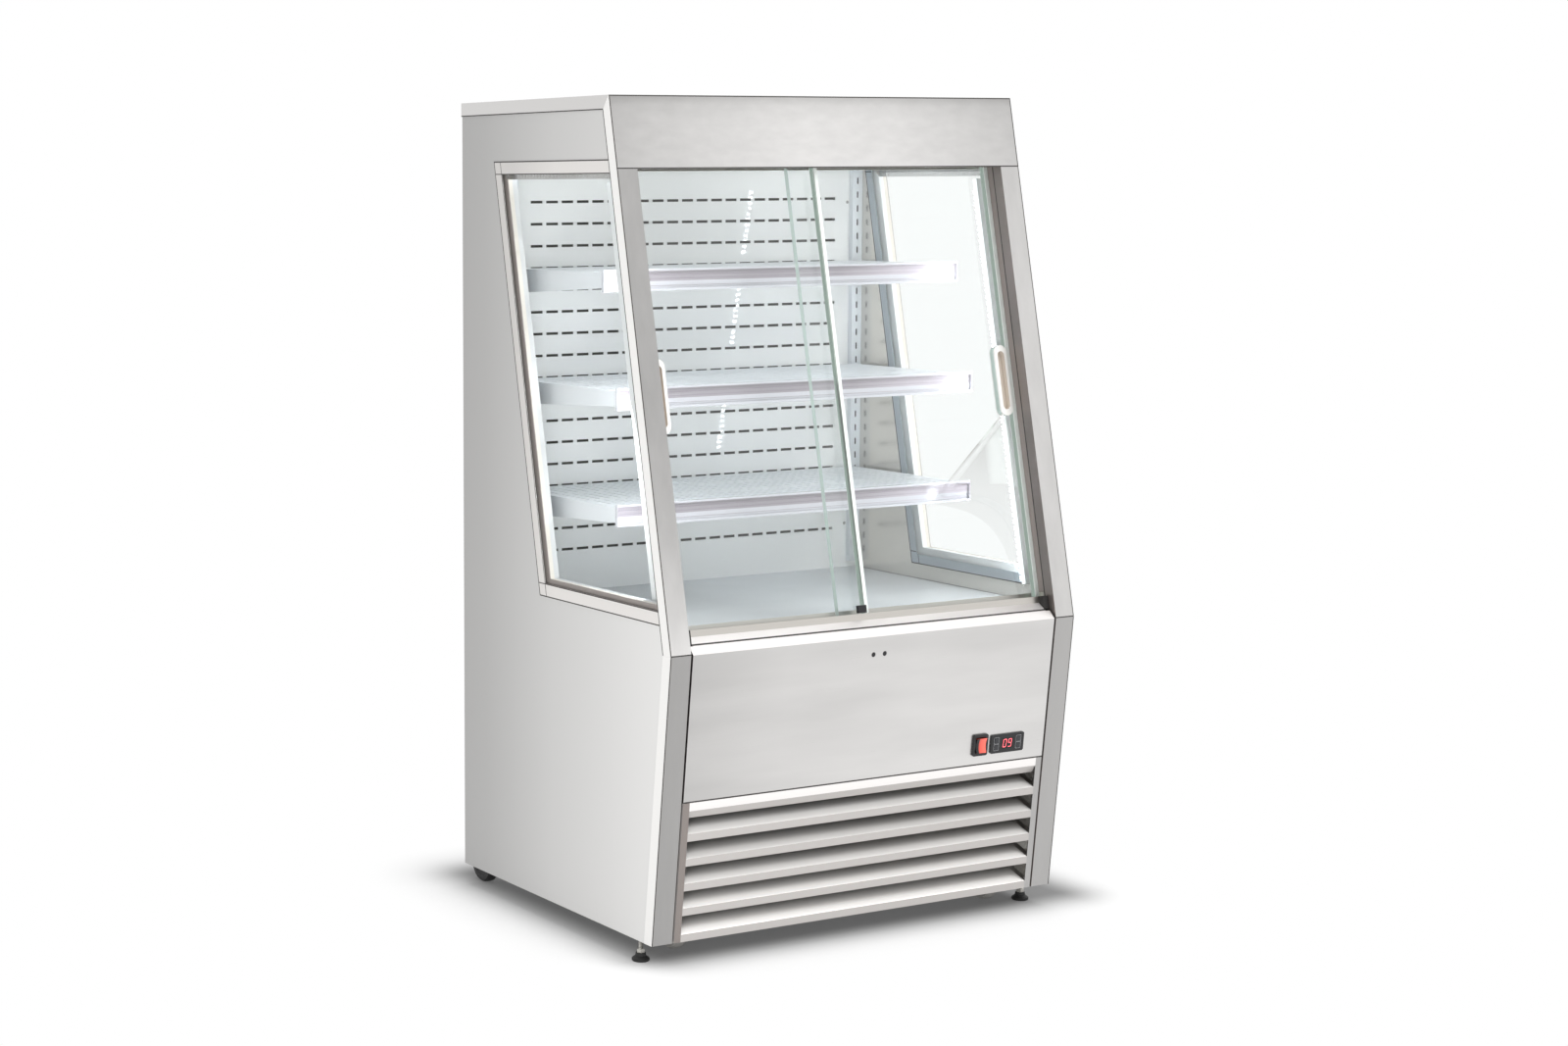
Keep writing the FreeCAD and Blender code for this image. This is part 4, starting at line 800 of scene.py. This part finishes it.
class FRIDGE_OT_steelwork(bpy.types.Operator):
    """Cap, fascia, pillars, window strips, lower panel, sill, tracks and seals"""

    bl_idname = "fridge.steelwork"
    bl_label = "Steel fronts"

    def execute(self, context):
        edge = size("top_cap")[1].x
        line = 2.2 * MM
        side_depth = 25 * MM * math.cos(SLOPE)
        returns = [
            band_depth(side_depth - line, side_depth + line, facing) for facing in (LEFT, RIGHT)
        ]
        corners = (band_x(-edge, -edge + line, FRONT), band_x(edge - line, edge, FRONT))

        def turned_side(middle, normal):
            """1 on the outer returns (lighter steel, painted light), 2 on the inner ones (darker
            steel, painted shade).
            """
            if abs(normal.x) < 0.9:
                return 0
            return 1 if normal.x * middle.x > 0 and abs(middle.x) > edge - 5 * MM else 2

        foot = size("top_cap")[0].z
        rim = [band_z(foot, foot + line, facing) for facing in (LEFT, RIGHT, BACKWARD)]
        dress("top_cap", ["steel_cap"], 0.5 * MM, bands=rim)
        low, high = size("fascia")[:2]
        ends = (band_z(high.z - line, high.z, FRONT), band_z(low.z, low.z + line, FRONT))
        dress(
            "fascia", ["steel_fascia", "steel_return_lit", "steel_jamb_shade"], 0.5 * MM, turned_side,
            bands=(*corners, *returns, *ends),
        )
        for side, steel in (("left", "steel_upright"), ("right", "steel_right_lit")):
            dress(
                "pillar_upper_" + side, [steel, "steel_return_lit", "steel_jamb_shade"], 0.5 * MM,
                turned_side, bands=(*corners, *returns, band_z(KNEE.z, KNEE.z + line, FRONT)),
            )
        dress(
            "lower_pillars", ["steel_low", "steel_return_lit", "steel_jamb_shade"], 0.5 * MM, turned_side,
            bands=corners,
        )
        self.strips(line)
        panel = size("lower_front_panel")[0]
        dress(
            "lower_front_panel", ["steel", "steel_fold_lit"], 0.4 * MM,
            split=lambda middle, normal: 1 if normal.z > 0.3 and middle.z > KNEE.z else 0,
            bands=(band_z(panel.z, panel.z + line, FRONT),),
        )
        dress("panel_plugs", ["black_plastic"], 0.8 * MM)
        fold = size("door_sill")[0].z + 15 * MM
        dress("door_sill", ["steel_fold_lit"], 0.4 * MM, bands=(band_z(fold, fold + line, Z),))
        lip, step = 30.5 * MM, 28 * MM
        # The band at the lip darkens the track's groove: painted shadow.
        dress(
            "bottom_track", ["aluminium"], 0.4 * MM,
            bands=(band_depth(lip, lip + 3 * MM, Z), band_depth(step, step + line, Z)),
        )
        dress("top_track", ["aluminium"], 0.4 * MM)
        jamb = 410 * MM
        dress(
            "door_seals", ["seal_grey", "black_rubber"], 0.8 * MM,
            lambda middle, normal: 1 if abs(middle.x) < jamb else 0,
        )
        return {"FINISHED"}

    def strips(self, line):
        """Strips round the side windows, with the joint lines at both their borders."""
        low, high = size("window_frames")[:2]
        wide, gap = 25 * MM, 1.8 * MM
        rear, glass_rear = [depth * MM * math.cos(SLOPE) for depth in (428, 403)]
        bands = []
        for facing in (LEFT, RIGHT):
            bands += [
                band_z(low.z, low.z + line, facing),
                band_z(high.z - line, high.z, facing),
                band_z(low.z + wide - gap, low.z + wide, facing),
                band_z(high.z - wide, high.z - wide + gap, facing),
                band_depth(rear - line, rear, facing),
                band_depth(glass_rear, glass_rear + gap, facing),
            ]

        def inner(middle, normal):
            return 1 if abs(middle.x) < high.x - 10 * MM else 0

        dress("window_frames", ["steel_strip", "frame_inner"], 0.2 * MM, inner, bands=bands)


class FRIDGE_OT_windows(bpy.types.Operator):
    """Double-glazed side windows with their spacers"""

    bl_idname = "fridge.windows"
    bl_label = "Side windows"

    def execute(self, context):
        corners = {}
        for vert in frame["nodes"]["side_glass"].data.vertices:
            level = round(abs(vert.co.x) / MM, 1)
            corners.setdefault(level, set()).add((round(vert.co.y, 5), round(vert.co.z, 5)))
        levels = sorted(corners)
        outline = self.ring(corners[levels[0]])
        hollow = self.ring(corners[levels[1]] - corners[levels[0]])
        bm = bmesh.new()
        for side in (-1, 1):
            for a, b in ((0, 1), (2, 3)):
                x0, x1 = side * levels[a] * MM, side * levels[b] * MM
                add_outline(bm, [(x0, y, z) for y, z in outline], (x1 - x0, 0, 0), 0)
        for face in bm.faces:
            face.normal_update()
            face.material_index = 0 if abs(face.normal.x) > 0.9 else 1
        cuts = [levels[1], *SPACER_STEPS, levels[2]]
        for side in (-1, 1):
            self.spacer(bm, outline, hollow, [side * cut * MM for cut in cuts])
        put(
            "side_windows", bm,
            ["window_glass", "glass_rim", "spacer", "spacer_cream", "seal_grey", "strip_lens"],
            "side_glass",
        )
        return {"FINISHED"}

    def ring(self, points):
        """Corners in order round their middle."""
        y = sum(p[0] for p in points) / len(points)
        z = sum(p[1] for p in points) / len(points)
        return sorted(points, key=lambda p: math.atan2(p[1] - z, p[0] - y))

    def spacer(self, bm, outline, hollow, cuts):
        """Frame between the panes: white inside, cream and a dark seal outside; the white is darker
        on the left window as painted shade.

        The inner face of its upper edge glows weakly, as the light strip shines on it.
        """
        loops = []
        for x in cuts:
            loops.append([[bm.verts.new((x, y, z)) for y, z in ring] for ring in (outline, hollow)])
        count = len(outline)
        for k in range(count):
            n = (k + 1) % count
            for level in range(3):
                for ring in (0, 1):
                    a, b = loops[level][ring], loops[level + 1][ring]
                    under_top = ring and min(a[k].co.z, a[n].co.z) > WINDOW_TOP
                    face = bm.faces.new((a[k], a[n], b[n], b[k]))
                    face.material_index = 5 if under_top else 2 + level
            for level, index in ((0, 2), (3, 4)):
                outer, inner = loops[level]
                bm.faces.new((outer[k], outer[n], inner[n], inner[k])).material_index = index


class FRIDGE_OT_doors(bpy.types.Operator):
    """Two sliding doors: glass, frame and finger pull"""

    bl_idname = "fridge.doors"
    bl_label = "Sliding doors"

    def execute(self, context):
        def broad(middle, normal):
            return 0 if abs(normal.dot(BACKWARD)) > 0.9 else 1

        def frame_part(middle, normal):
            if BACKWARD.dot(middle - KNEE) < shoe_rear:
                return 2
            # Side faces of the stile get the glowing finish: painted light.
            return 3 if abs(normal.x) > 0.9 else 0

        shoe_rear, stile, line = 31.9 * MM, 9 * MM, 1.4 * MM
        for side in ("left", "right"):
            glass = f"door_{side}_glass"
            put(f"door_{side}_pane", merged_copy(glass, broad), ["door_glass", "glass_edge"], glass)
            high = size(f"door_{side}_frame")[1].x
            edge = high - stile if side == "left" else -high
            dress(
                f"door_{side}_frame",
                ["door_strip", "strip_line", "black_plastic", "strip_side_glow"], 0.5 * MM, frame_part,
                bands=(band_x(edge, edge + line, FRONT, 1),),
            )
            self.pull(f"door_{side}_handle")
        return {"FINISHED"}

    def pull(self, node):
        """Oval finger pull, beige inside its pocket."""
        middle = size(node)[2]
        front = min(BACKWARD.dot(v.co) for v in frame["nodes"][node].data.vertices)

        def pocket(place, normal):
            deep = BACKWARD.dot(place) - front > 1 * MM
            beside = abs(place.x - middle.x) < 10 * MM
            low_end = abs((place - middle).dot(RISE)) < 62 * MM
            return 1 if deep and beside and low_end else 0

        dress(node, ["pull_white", "pull_recess"], 0.9 * MM, pocket, 3)


class FRIDGE_OT_back_panel(bpy.types.Operator):
    """Slotted air panel and the slotted shelf standards"""

    bl_idname = "fridge.back_panel"
    bl_label = "Back panel and standards"

    def execute(self, context):
        paint("air_panel", "liner_paint")
        low, high = size("shelf_uprights")[:2]
        width, slot, sheet = 24 * MM, 4 * MM, 1.2 * MM
        pitch = settings().standard_pitch
        count = int((high.z - low.z) / pitch)
        tile = holed_tile(width, pitch, slot, pitch / 2, sheet, Z, Y)
        first = low.z + (high.z - low.z - (count - 1) * pitch) / 2
        x = high.x - width / 2
        tile.transform(Matrix.Translation((-x, low.y, first)))
        repeat(
            "standard_faces", tile, 2, (2 * x, 0, 0), count, (0, 0, pitch), "shelf_paint",
            "shelf_uprights", weld=WELD,
        )
        bm = bmesh.new()
        z0, z1 = first - pitch / 2, first + (count - 0.5) * pitch
        for side in (-1, 1):
            for edge in (x - width / 2, x + width / 2 - sheet):
                add_box(bm, side * edge, side * (edge + sheet), low.y + 0.1 * MM, high.y, z0, z1)
            a, b = side * (x - width / 2), side * (x + width / 2)
            for z in ((low.z, z0), (z1, high.z)):
                add_box(bm, a, b, low.y, high.y, *z)
        soften(put("standard_sides", bm, ["shelf_paint"]), 0.3 * MM)
        # Black sheets inside the standards, seen through the slots: painted shade.
        bm = bmesh.new()
        y, half = low.y + 2.4 * MM, width / 2 - 1.3 * MM
        for side in (-1, 1):
            add_box(bm, side * (x - half), side * (x + half), y, y + 0.4 * MM, z0, z1)
        put("standard_hollows", bm, ["shade_black"])
        return {"FINISHED"}


class FRIDGE_OT_shelves(bpy.types.Operator):
    """Three slotted shelves, their brackets and ticket rails"""

    bl_idname = "fridge.shelves"
    bl_label = "Shelves"

    def execute(self, context):
        for name in ("lower", "middle", "upper"):
            self.shelf("shelf_" + name)
        dress("shelf_brackets", ["shelf_paint"], 0.5 * MM)
        bands = []
        for level in SHELF_LEVELS:
            top = level + RAIL_TOP
            for high, low, index in RAIL_BANDS:
                bands.append(band_z((top - low) * MM, (top - high) * MM, FRONT, index))
        dress(
            "price_rails", ["rail_plastic", "rail_lip", "rail_line"], 0.3 * MM,
            lambda middle, normal: 1 if abs(normal.z) > 0.5 or abs(normal.x) > 0.5 else 0,
            bands=bands,
        )
        return {"FINISHED"}

    def shelf(self, node):
        """Slotted sheet between plain borders, with its folded edges."""
        low, high, middle = size(node)
        s = settings()
        border, sheet, bridge = 9 * MM, 1 * MM, 16 * MM
        columns, rows = s.shelf_slot_columns, s.shelf_slot_rows
        pitch = (high.x - low.x - 2 * border) / columns
        reach = (high.y - low.y - 2 * border) / rows
        tile = holed_tile(pitch, reach, s.shelf_slot_width, reach - bridge, sheet, Y, -Z)
        first = Vector((low.x + border + pitch / 2, low.y + border + reach / 2, high.z))
        tile.transform(Matrix.Translation(first))
        repeat(
            node + "_sheet", tile, columns, (pitch, 0, 0), rows, (0, reach, 0), "shelf_paint",
            node, weld=WELD,
        )
        bm = bmesh.new()
        for y in (low.y, high.y - border):
            add_box(bm, low.x, high.x, y, y + border, high.z - sheet, high.z)
        for x in (low.x, high.x - border):
            add_box(bm, x, x + border, low.y, high.y, high.z - sheet, high.z)
        add_box(bm, low.x, high.x, low.y, low.y + sheet, low.z, high.z)
        add_box(bm, low.x, high.x, high.y - sheet, high.y, middle.z, high.z)
        for x in (low.x, high.x - sheet):
            add_box(bm, x, x + sheet, low.y, high.y, middle.z, high.z)
        soften(put(node + "_folds", bm, ["shelf_paint"]), 0.3 * MM)


class FRIDGE_OT_deck(bpy.types.Operator):
    """Steel deck over the cooled well"""

    bl_idname = "fridge.deck"
    bl_label = "Deck"

    def execute(self, context):
        low, high = size("deck")[:2]
        line = 2.2 * MM
        dress(
            "deck", ["zinc"], 0.4 * MM,
            bands=(band_x(low.x, low.x + line, Z), band_x(high.x - line, high.x, Z)),
        )
        return {"FINISHED"}


class FRIDGE_OT_lights(bpy.types.Operator):
    """Light strips with their rows of diodes"""

    bl_idname = "fridge.lights"
    bl_label = "Light strips"

    def execute(self, context):
        dress(
            "led_strips", ["strip_body", "strip_lens"], 0.4 * MM,
            lambda middle, normal: 1 if normal.x * middle.x < -0.2 * abs(middle.x) else 0,
        )
        pitch = settings().diode_pitch
        first, last, depth = 76 * MM, 844 * MM, 86.6 * MM
        count = int((last - first) / pitch)
        outside = abs(size("led_strips")[0].x) - 6 * MM
        for label, x in (("left", -outside), ("right", outside)):
            bm = bmesh.new()
            matrix = door_matrix(x, depth, first + pitch / 2)
            add_box(bm, -5 * MM, 5 * MM, -0.6 * MM, 0.6 * MM, -3 * MM, 3 * MM, matrix=matrix)
            diode = mesh_of(bm, "diode")
            repeat("diodes_" + label, diode, 1, (0, 0, 0), count, RISE * pitch, "light")
        return {"FINISHED"}


SEGMENTS = {
    0: "abcdef", 1: "bc", 2: "abged", 3: "abgcd", 4: "fgbc", 5: "afgcd", 6: "afgedc",
    7: "abc", 8: "abcdefg", 9: "abcdfg",
}


def segment_places(width, height):
    """Middle of the seven bars of one digit, and whether each lies flat."""
    w, h = width / 2, height / 2
    return {
        "a": (0, h, True), "g": (0, 0, True), "d": (0, -h, True),
        "b": (w, h / 2, False), "c": (w, -h / 2, False),
        "f": (-w, h / 2, False), "e": (-w, -h / 2, False),
    }


class FRIDGE_OT_controls(bpy.types.Operator):
    """Rocker switch and thermostat with its display and keys"""

    bl_idname = "fridge.controls"
    bl_label = "Controls"

    def execute(self, context):
        dress("switch_bezel", ["black_plastic"], 0.8 * MM, segments=3)
        low, high = size("switch_rocker")[:2]
        side = low.x + 0.3 * (high.x - low.x)
        dress(
            "switch_rocker", ["red_plastic", "black_plastic"], 0.7 * MM, segments=3,
            bands=(band_x(low.x, side, FRONT, 1), band_x(low.x, side, LEFT, 1)),
        )
        dress("thermostat_body", ["black_plastic"], 0.9 * MM, segments=3)
        for k in (1, 2, 3, 4):
            dress(f"thermostat_key_{k}", ["key_plastic"], 0.3 * MM)
        self.face()
        return {"FINISHED"}

    def face(self):
        """Display with its digits, and an outline round each key."""
        height, proud = 336 * MM, -3 * MM
        matrix = panel_matrix(size("thermostat_body")[2].x, height, proud)
        glass = bmesh.new()
        add_box(glass, -14 * MM, 14 * MM, 0.3 * MM, 0.8 * MM, -10 * MM, 10 * MM, matrix=matrix)
        put("display_window", glass, ["display_glass"])
        bar, wide, tall, apart, slant = 1.2 * MM, 7 * MM, 14.5 * MM, 6 * MM, 0.12
        shown = settings().display
        places = segment_places(wide, tall)
        digits = bmesh.new()
        for digit, shift in ((shown // 10, -apart), (shown % 10, apart)):
            for letter in SEGMENTS[digit]:
                x, z, flat = places[letter]
                x += shift + z * slant
                long = (wide if flat else tall / 2) / 2 - bar * 0.35
                a, b = (long, bar / 2) if flat else (bar / 2, long)
                add_box(digits, x - a, x + a, 0.1 * MM, 0.28 * MM, z - b, z + b, matrix=matrix)
        put("display_digits", digits, ["digit"])
        marks = bmesh.new()
        w, h, t = 5.6 * MM, 5.9 * MM, 0.25 * MM
        for x in (-26 * MM, 26 * MM):
            for z in (-6.5 * MM, 6.5 * MM):
                for edge in (-1, 1):
                    for a, b, c, d in (
                        (x - w, x + w, z + edge * h - t, z + edge * h + t),
                        (x + edge * w - t, x + edge * w + t, z - h, z + h),
                    ):
                        add_box(marks, a, b, -0.05 * MM, 0.1 * MM, c, d, matrix=matrix)
        put("key_outlines", marks, ["mark"])


class FRIDGE_OT_grille(bpy.types.Operator):
    """Louvred grille under the front panel"""

    bl_idname = "fridge.grille"
    bl_label = "Louvred grille"

    def execute(self, context):
        edge = size("louvre_grille")[1].x
        head, rail = 284 * MM, 13.5 * MM

        # Inner blade ends: black painted shade; head and blade tops: lighter finishes with painted
        # light and shade.
        def part(middle, normal):
            if abs(normal.x) > 0.9 and abs(middle.x) < edge - 2 * MM:
                return 1
            if middle.z > head and abs(normal.x) < 0.5:
                return 4
            return 2 if normal.z > 0.5 else 0

        dress(
            "louvre_grille",
            ["steel_blade", "shade_black", "blade_top_light_shade", "steel_low", "steel_fold_lit", "steel_jamb_shade"],
            0.4 * MM, part,
            # The left rail takes the darker steel as painted shade.
            bands=(band_x(-edge, rail - edge, FRONT, 5), band_x(edge - rail, edge, FRONT, 3)),
        )
        return {"FINISHED"}


class FRIDGE_OT_machinery(bpy.types.Operator):
    """Compressor, coils with their fins, fans, pipes and drain tray"""

    bl_idname = "fridge.machinery"
    bl_label = "Machinery"

    def execute(self, context):
        for coil, block in COIL_BLOCKS.items():
            dress(coil, ["coil"], 0.4 * MM)
            self.fins(coil, block)
        dress("compressor", ["compressor_paint"], 1.5 * MM, segments=3)
        dress("pipework", ["copper"], 0.2 * MM)
        dress("drain_tray", ["tray_plastic"], 0.8 * MM)
        for node in ("condenser_fan", "evaporator_fan_left", "evaporator_fan_right"):
            dress(node, ["black_plastic"], 0.3 * MM)
        return {"FINISHED"}

    def fins(self, coil, block):
        """Row of thin plates over the coil's block."""
        pitch = settings().fin_pitch
        (x0, x1), (y0, y1), (z0, z1) = [(low * MM, high * MM) for low, high in block]
        count = int((x1 - x0) / pitch)
        lip, half = 1 * MM, 0.2 * MM
        first = (x0 + x1 - (count - 1) * pitch) / 2
        bm = bmesh.new()
        add_box(bm, first - half, first + half, y0 + lip, y1 - lip, z0 + lip, z1 - lip)
        repeat(coil + "_fins", mesh_of(bm, "fin"), count, (pitch, 0, 0), 1, (0, 0, 0), "coil")


class FRIDGE_OT_castors(bpy.types.Operator):
    """Castors, wheels and levelling feet"""

    bl_idname = "fridge.castors"
    bl_label = "Castors and feet"

    def execute(self, context):
        for side in ("left", "right"):
            dress(f"castor_fork_front_{side}", ["zinc_fork"], 0.4 * MM)
            self.wheel(f"castor_wheel_front_{side}", "wheel_grey")
            self.wheel(f"castor_wheel_rear_{side}", "wheel_black")
            self.foot(f"levelling_foot_{side}")
        dress("rear_castor_brackets", ["zinc_fork"], 0.4 * MM)
        return {"FINISHED"}

    def wheel(self, node, tyre):
        low, high, middle = size(node)
        r, w = (high.z - low.z) / 2, (high.x - low.x) / 2
        shares = (
            (0.30, 1), (0.34, 0.80), (0.66, 0.80), (0.70, 0.96), (0.90, 0.96), (0.985, 0.62),
            (1, 0.2),
        )
        half = [(4.2 * MM, w)] + [(r * radius, w * place) for radius, place in shares]
        profile = [(radius, -place) for radius, place in half] + half[::-1]
        bm = bmesh.new()
        add_lathe(bm, profile + profile[:1], turned("X", middle), 40)
        bmesh.ops.remove_doubles(bm, verts=bm.verts, dist=0.01 * MM)
        sharpen(put(node + "_tyre", bm, [tyre], node).data, 40)

    def foot(self, node):
        """Round pad, hexagon nut and threaded stem."""
        low, high, middle = size(node)
        place = turned("Z", (middle.x, middle.y, 0))
        r, stem, turns = 16 * MM, 4 * MM, 16
        pad_top, nut_top, flats = 15 * MM, 22 * MM, 13 * MM
        bm = bmesh.new()
        profile = [
            (0, 0), (r * 0.92, 0), (r, 1.5 * MM), (r, 5 * MM), (r * 0.9, 6.5 * MM),
            (r * 0.62, 9.5 * MM), (r * 0.55, pad_top), (0, pad_top),
        ]
        add_lathe(bm, profile, place, 36, [0] * 7)
        thread = [(stem, nut_top)]
        step = (high.z - nut_top) / turns
        for k in range(turns):
            z = nut_top + k * step
            thread += [(stem * 0.84, z + step * 0.5), (stem, z + step)]
        add_lathe(bm, [(0, pad_top), *thread, (0, high.z)], place, 16, [2] * (len(thread) + 1))
        hexagon = []
        for k in range(6):
            a, corner = math.radians(60 * k), flats / math.sqrt(3)
            hexagon.append(place @ Vector((corner * math.cos(a), corner * math.sin(a), pad_top)))
        add_outline(bm, hexagon, (0, 0, nut_top - pad_top), 1)
        obj = put(node + "_turned", bm, ["foot_black", "zinc_fork", "zinc_fork"], node)
        sharpen(obj.data, 40)


class FRIDGE_OT_fixings(bpy.types.Operator):
    """Visible screw heads"""

    bl_idname = "fridge.fixings"
    bl_label = "Screws"

    def execute(self, context):
        panel = [(x, z) for x in (-0.3895, 0.3895) for z in (0.678, 1.337)]
        back = [(x, z) for x in (-0.4, 0, 0.4) for z in (0.116, 0.416, 0.446, 1.426)]
        back += [(x, z) for x in (-0.4, 0.4) for z in (0.69, 0.935, 1.18)]
        for name, axis, y, places in (
            ("panel_screws", "-Y", size("air_panel")[0].y, panel),
            ("rear_screws", "Y", size("rear_grille")[1].y, back),
        ):
            place_on(name, [(x, y, z) for x, z in places], screw_head(axis), "screw_steel")
        return {"FINISHED"}


class FRIDGE_OT_stage(bpy.types.Operator):
    """Floor, backdrop light, lamps and camera"""

    bl_idname = "fridge.stage"
    bl_label = "Stage"

    def execute(self, context):
        self.floor()
        self.world()
        self.lamps()
        self.camera()
        bpy.context.scene.view_settings.view_transform = "Standard"
        return {"FINISHED"}

    def floor(self):
        """Pale floor that turns to plain white with the distance from the cabinet's outline, with a
        painted shadow darkening it close to the outline.
        """
        material, tree = blank("floor")
        # The outline is shifted a little right and back, so the painted shadow reaches further that
        # way.
        middle, half, origin = (0.07, 0.07, 0.0), (0.45, 0.325, 0.0), (0, 0, 0)
        outward = add(tree, "ShaderNodeTexCoord").outputs["Object"]
        for operation, second in (
            ("SUBTRACT", middle), ("ABSOLUTE", origin), ("SUBTRACT", half), ("MAXIMUM", origin),
        ):
            step = add(tree, "ShaderNodeVectorMath", {0: outward, 1: second}, operation=operation)
            outward = step.outputs["Vector"]
        step = add(tree, "ShaderNodeVectorMath", {0: outward}, operation="LENGTH")
        distance = step.outputs["Value"]
        # Painted shadow: the floor colour darkens close to the cabinet's outline.
        shadow_ramp = add(tree, "ShaderNodeValToRGB", {"Fac": distance})
        painted_shadow, open_floor = shadow_ramp.color_ramp.elements
        painted_shadow.color = (0.2, 0.2, 0.2, 1)
        open_floor.position = 0.16
        open_floor.color = (0.86, 0.86, 0.86, 1)
        shadow_ramp.color_ramp.interpolation = "EASE"
        pale = add(tree, "ShaderNodeBsdfPrincipled", {
            "Base Color": shadow_ramp.outputs["Color"], "Roughness": 0.9, "Specular IOR Level": 0.0,
            "Emission Color": WHITE, "Emission Strength": 0.08,
        }).outputs["BSDF"]
        far = add(tree, "ShaderNodeEmission", {"Color": WHITE}).outputs["Emission"]
        values = {"Value": distance, "From Min": 0.0, "From Max": 0.24}
        fade = add(tree, "ShaderNodeMapRange", values, interpolation_type="SMOOTHSTEP")
        mix = add(tree, "ShaderNodeMixShader", {0: fade.outputs["Result"], 1: pale, 2: far})
        add(tree, "ShaderNodeOutputMaterial", {"Surface": mix.outputs["Shader"]})
        mesh = bpy.data.meshes.new("floor")
        r = 14.0
        mesh.from_pydata([(-r, -r, 0), (r, -r, 0), (r, r, 0), (-r, r, 0)], [], [(0, 1, 2, 3)])
        mesh.materials.append(material)
        floor = linked("floor", mesh)

    def world(self):
        """White to the eye and in mirrors, and half as bright as a light."""
        world = bpy.data.worlds.new("studio")
        bpy.context.scene.world = world
        world.use_nodes = True
        tree = world.node_tree
        tree.nodes.clear()
        path = add(tree, "ShaderNodeLightPath").outputs
        seen = path["Is Camera Ray"]
        for extra in ("Is Glossy Ray", "Is Transmission Ray"):
            larger = add(tree, "ShaderNodeMath", {0: seen, 1: path[extra]}, operation="MAXIMUM")
            seen = larger.outputs["Value"]
        light, backdrop = [
            add(tree, "ShaderNodeBackground", {"Color": WHITE, "Strength": strength})
            for strength in (0.5, 1.0)
        ]
        mix = add(tree, "ShaderNodeMixShader", {
            0: seen, 1: light.outputs["Background"], 2: backdrop.outputs["Background"],
        })
        add(tree, "ShaderNodeOutputWorld", {"Surface": mix.outputs["Shader"]})

    def lamps(self):
        strip = settings().glow * 0.012  # watts of each lamp in front of a light strip
        for name, place, target, width, power in (
            ("key", (1.4, -3.3, 3.3), (0, 0, 0.7), 2.2, 105),
            ("side", (-1.5, -1.5, 0.5), (-0.45, -0.25, 0.25), 0.7, 11),
            ("top", (0.0, -0.1, 3.6), (0, 0, 1.0), 2.8, 60),
            ("strip_left", tilted(-0.4, 0.1, 0.56), (-0.1, 0.24, 0.9), 0.02, strip),
            ("strip_right", tilted(0.4, 0.1, 0.56), (0.1, 0.24, 0.9), 0.02, strip),
        ):
            lamp = bpy.data.lights.new(name, "AREA")
            lamp.shape = "RECTANGLE"
            lamp.size = width
            lamp.size_y = max(width, 0.7)
            lamp.energy = power
            obj = linked(name, lamp)
            obj.location = place
            aim = Vector(target) - Vector(place)
            obj.rotation_euler = aim.to_track_quat("-Z", "Y").to_euler()
            obj.visible_glossy = False

    def camera(self):
        yaw, pitch, roll = math.radians(26.79), math.radians(5.51), math.radians(0.45)
        forward = Vector((
            math.sin(yaw) * math.cos(pitch), math.cos(yaw) * math.cos(pitch), -math.sin(pitch),
        ))
        right = Vector((math.cos(yaw), -math.sin(yaw), 0))
        down = forward.cross(right)
        across = right * math.cos(roll) + down * math.sin(roll)
        below = down * math.cos(roll) - right * math.sin(roll)
        turn = Matrix((across, -below, -forward)).transposed()
        data = bpy.data.cameras.new("camera")
        data.sensor_width = 36.0
        data.lens = 62.06
        data.shift_x = 0.2767
        data.shift_y = -0.0515
        data.clip_end = 100
        camera = linked("camera", data)
        camera.matrix_world = Matrix.Translation((-3.013, -4.2407, 1.387)) @ turn.to_4x4()
        bpy.context.scene.camera = camera


OPERATORS = (
    FRIDGE_OT_cabinet, FRIDGE_OT_steelwork, FRIDGE_OT_windows, FRIDGE_OT_doors,
    FRIDGE_OT_back_panel, FRIDGE_OT_shelves, FRIDGE_OT_deck, FRIDGE_OT_lights,
    FRIDGE_OT_controls, FRIDGE_OT_grille, FRIDGE_OT_machinery, FRIDGE_OT_castors,
    FRIDGE_OT_fixings, FRIDGE_OT_stage,
)


class FRIDGE_PT_panel(bpy.types.Panel):
    """Lists the fridge's operators in the 3D view's sidebar"""

    bl_label = "Display fridge"
    bl_idname = "FRIDGE_PT_panel"
    bl_space_type = "VIEW_3D"
    bl_region_type = "UI"
    bl_category = "Display fridge"

    def draw(self, context):
        for name in FridgeSettings.__annotations__:
            self.layout.prop(context.scene.fridge, name)
        for operator in OPERATORS:
            self.layout.operator(operator.bl_idname)


CLASSES = (FridgeSettings, *OPERATORS, FRIDGE_PT_panel)


def register():
    for cls in CLASSES:
        bpy.utils.register_class(cls)
    bpy.types.Scene.fridge = bpy.props.PointerProperty(type=FridgeSettings)


def unregister():
    del bpy.types.Scene.fridge
    for cls in reversed(CLASSES):
        bpy.utils.unregister_class(cls)


def main():
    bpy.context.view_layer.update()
    register()
    for operator in OPERATORS:
        group, name = operator.bl_idname.split(".")
        getattr(getattr(bpy.ops, group), name)()


if __name__ == "__main__":
    main()
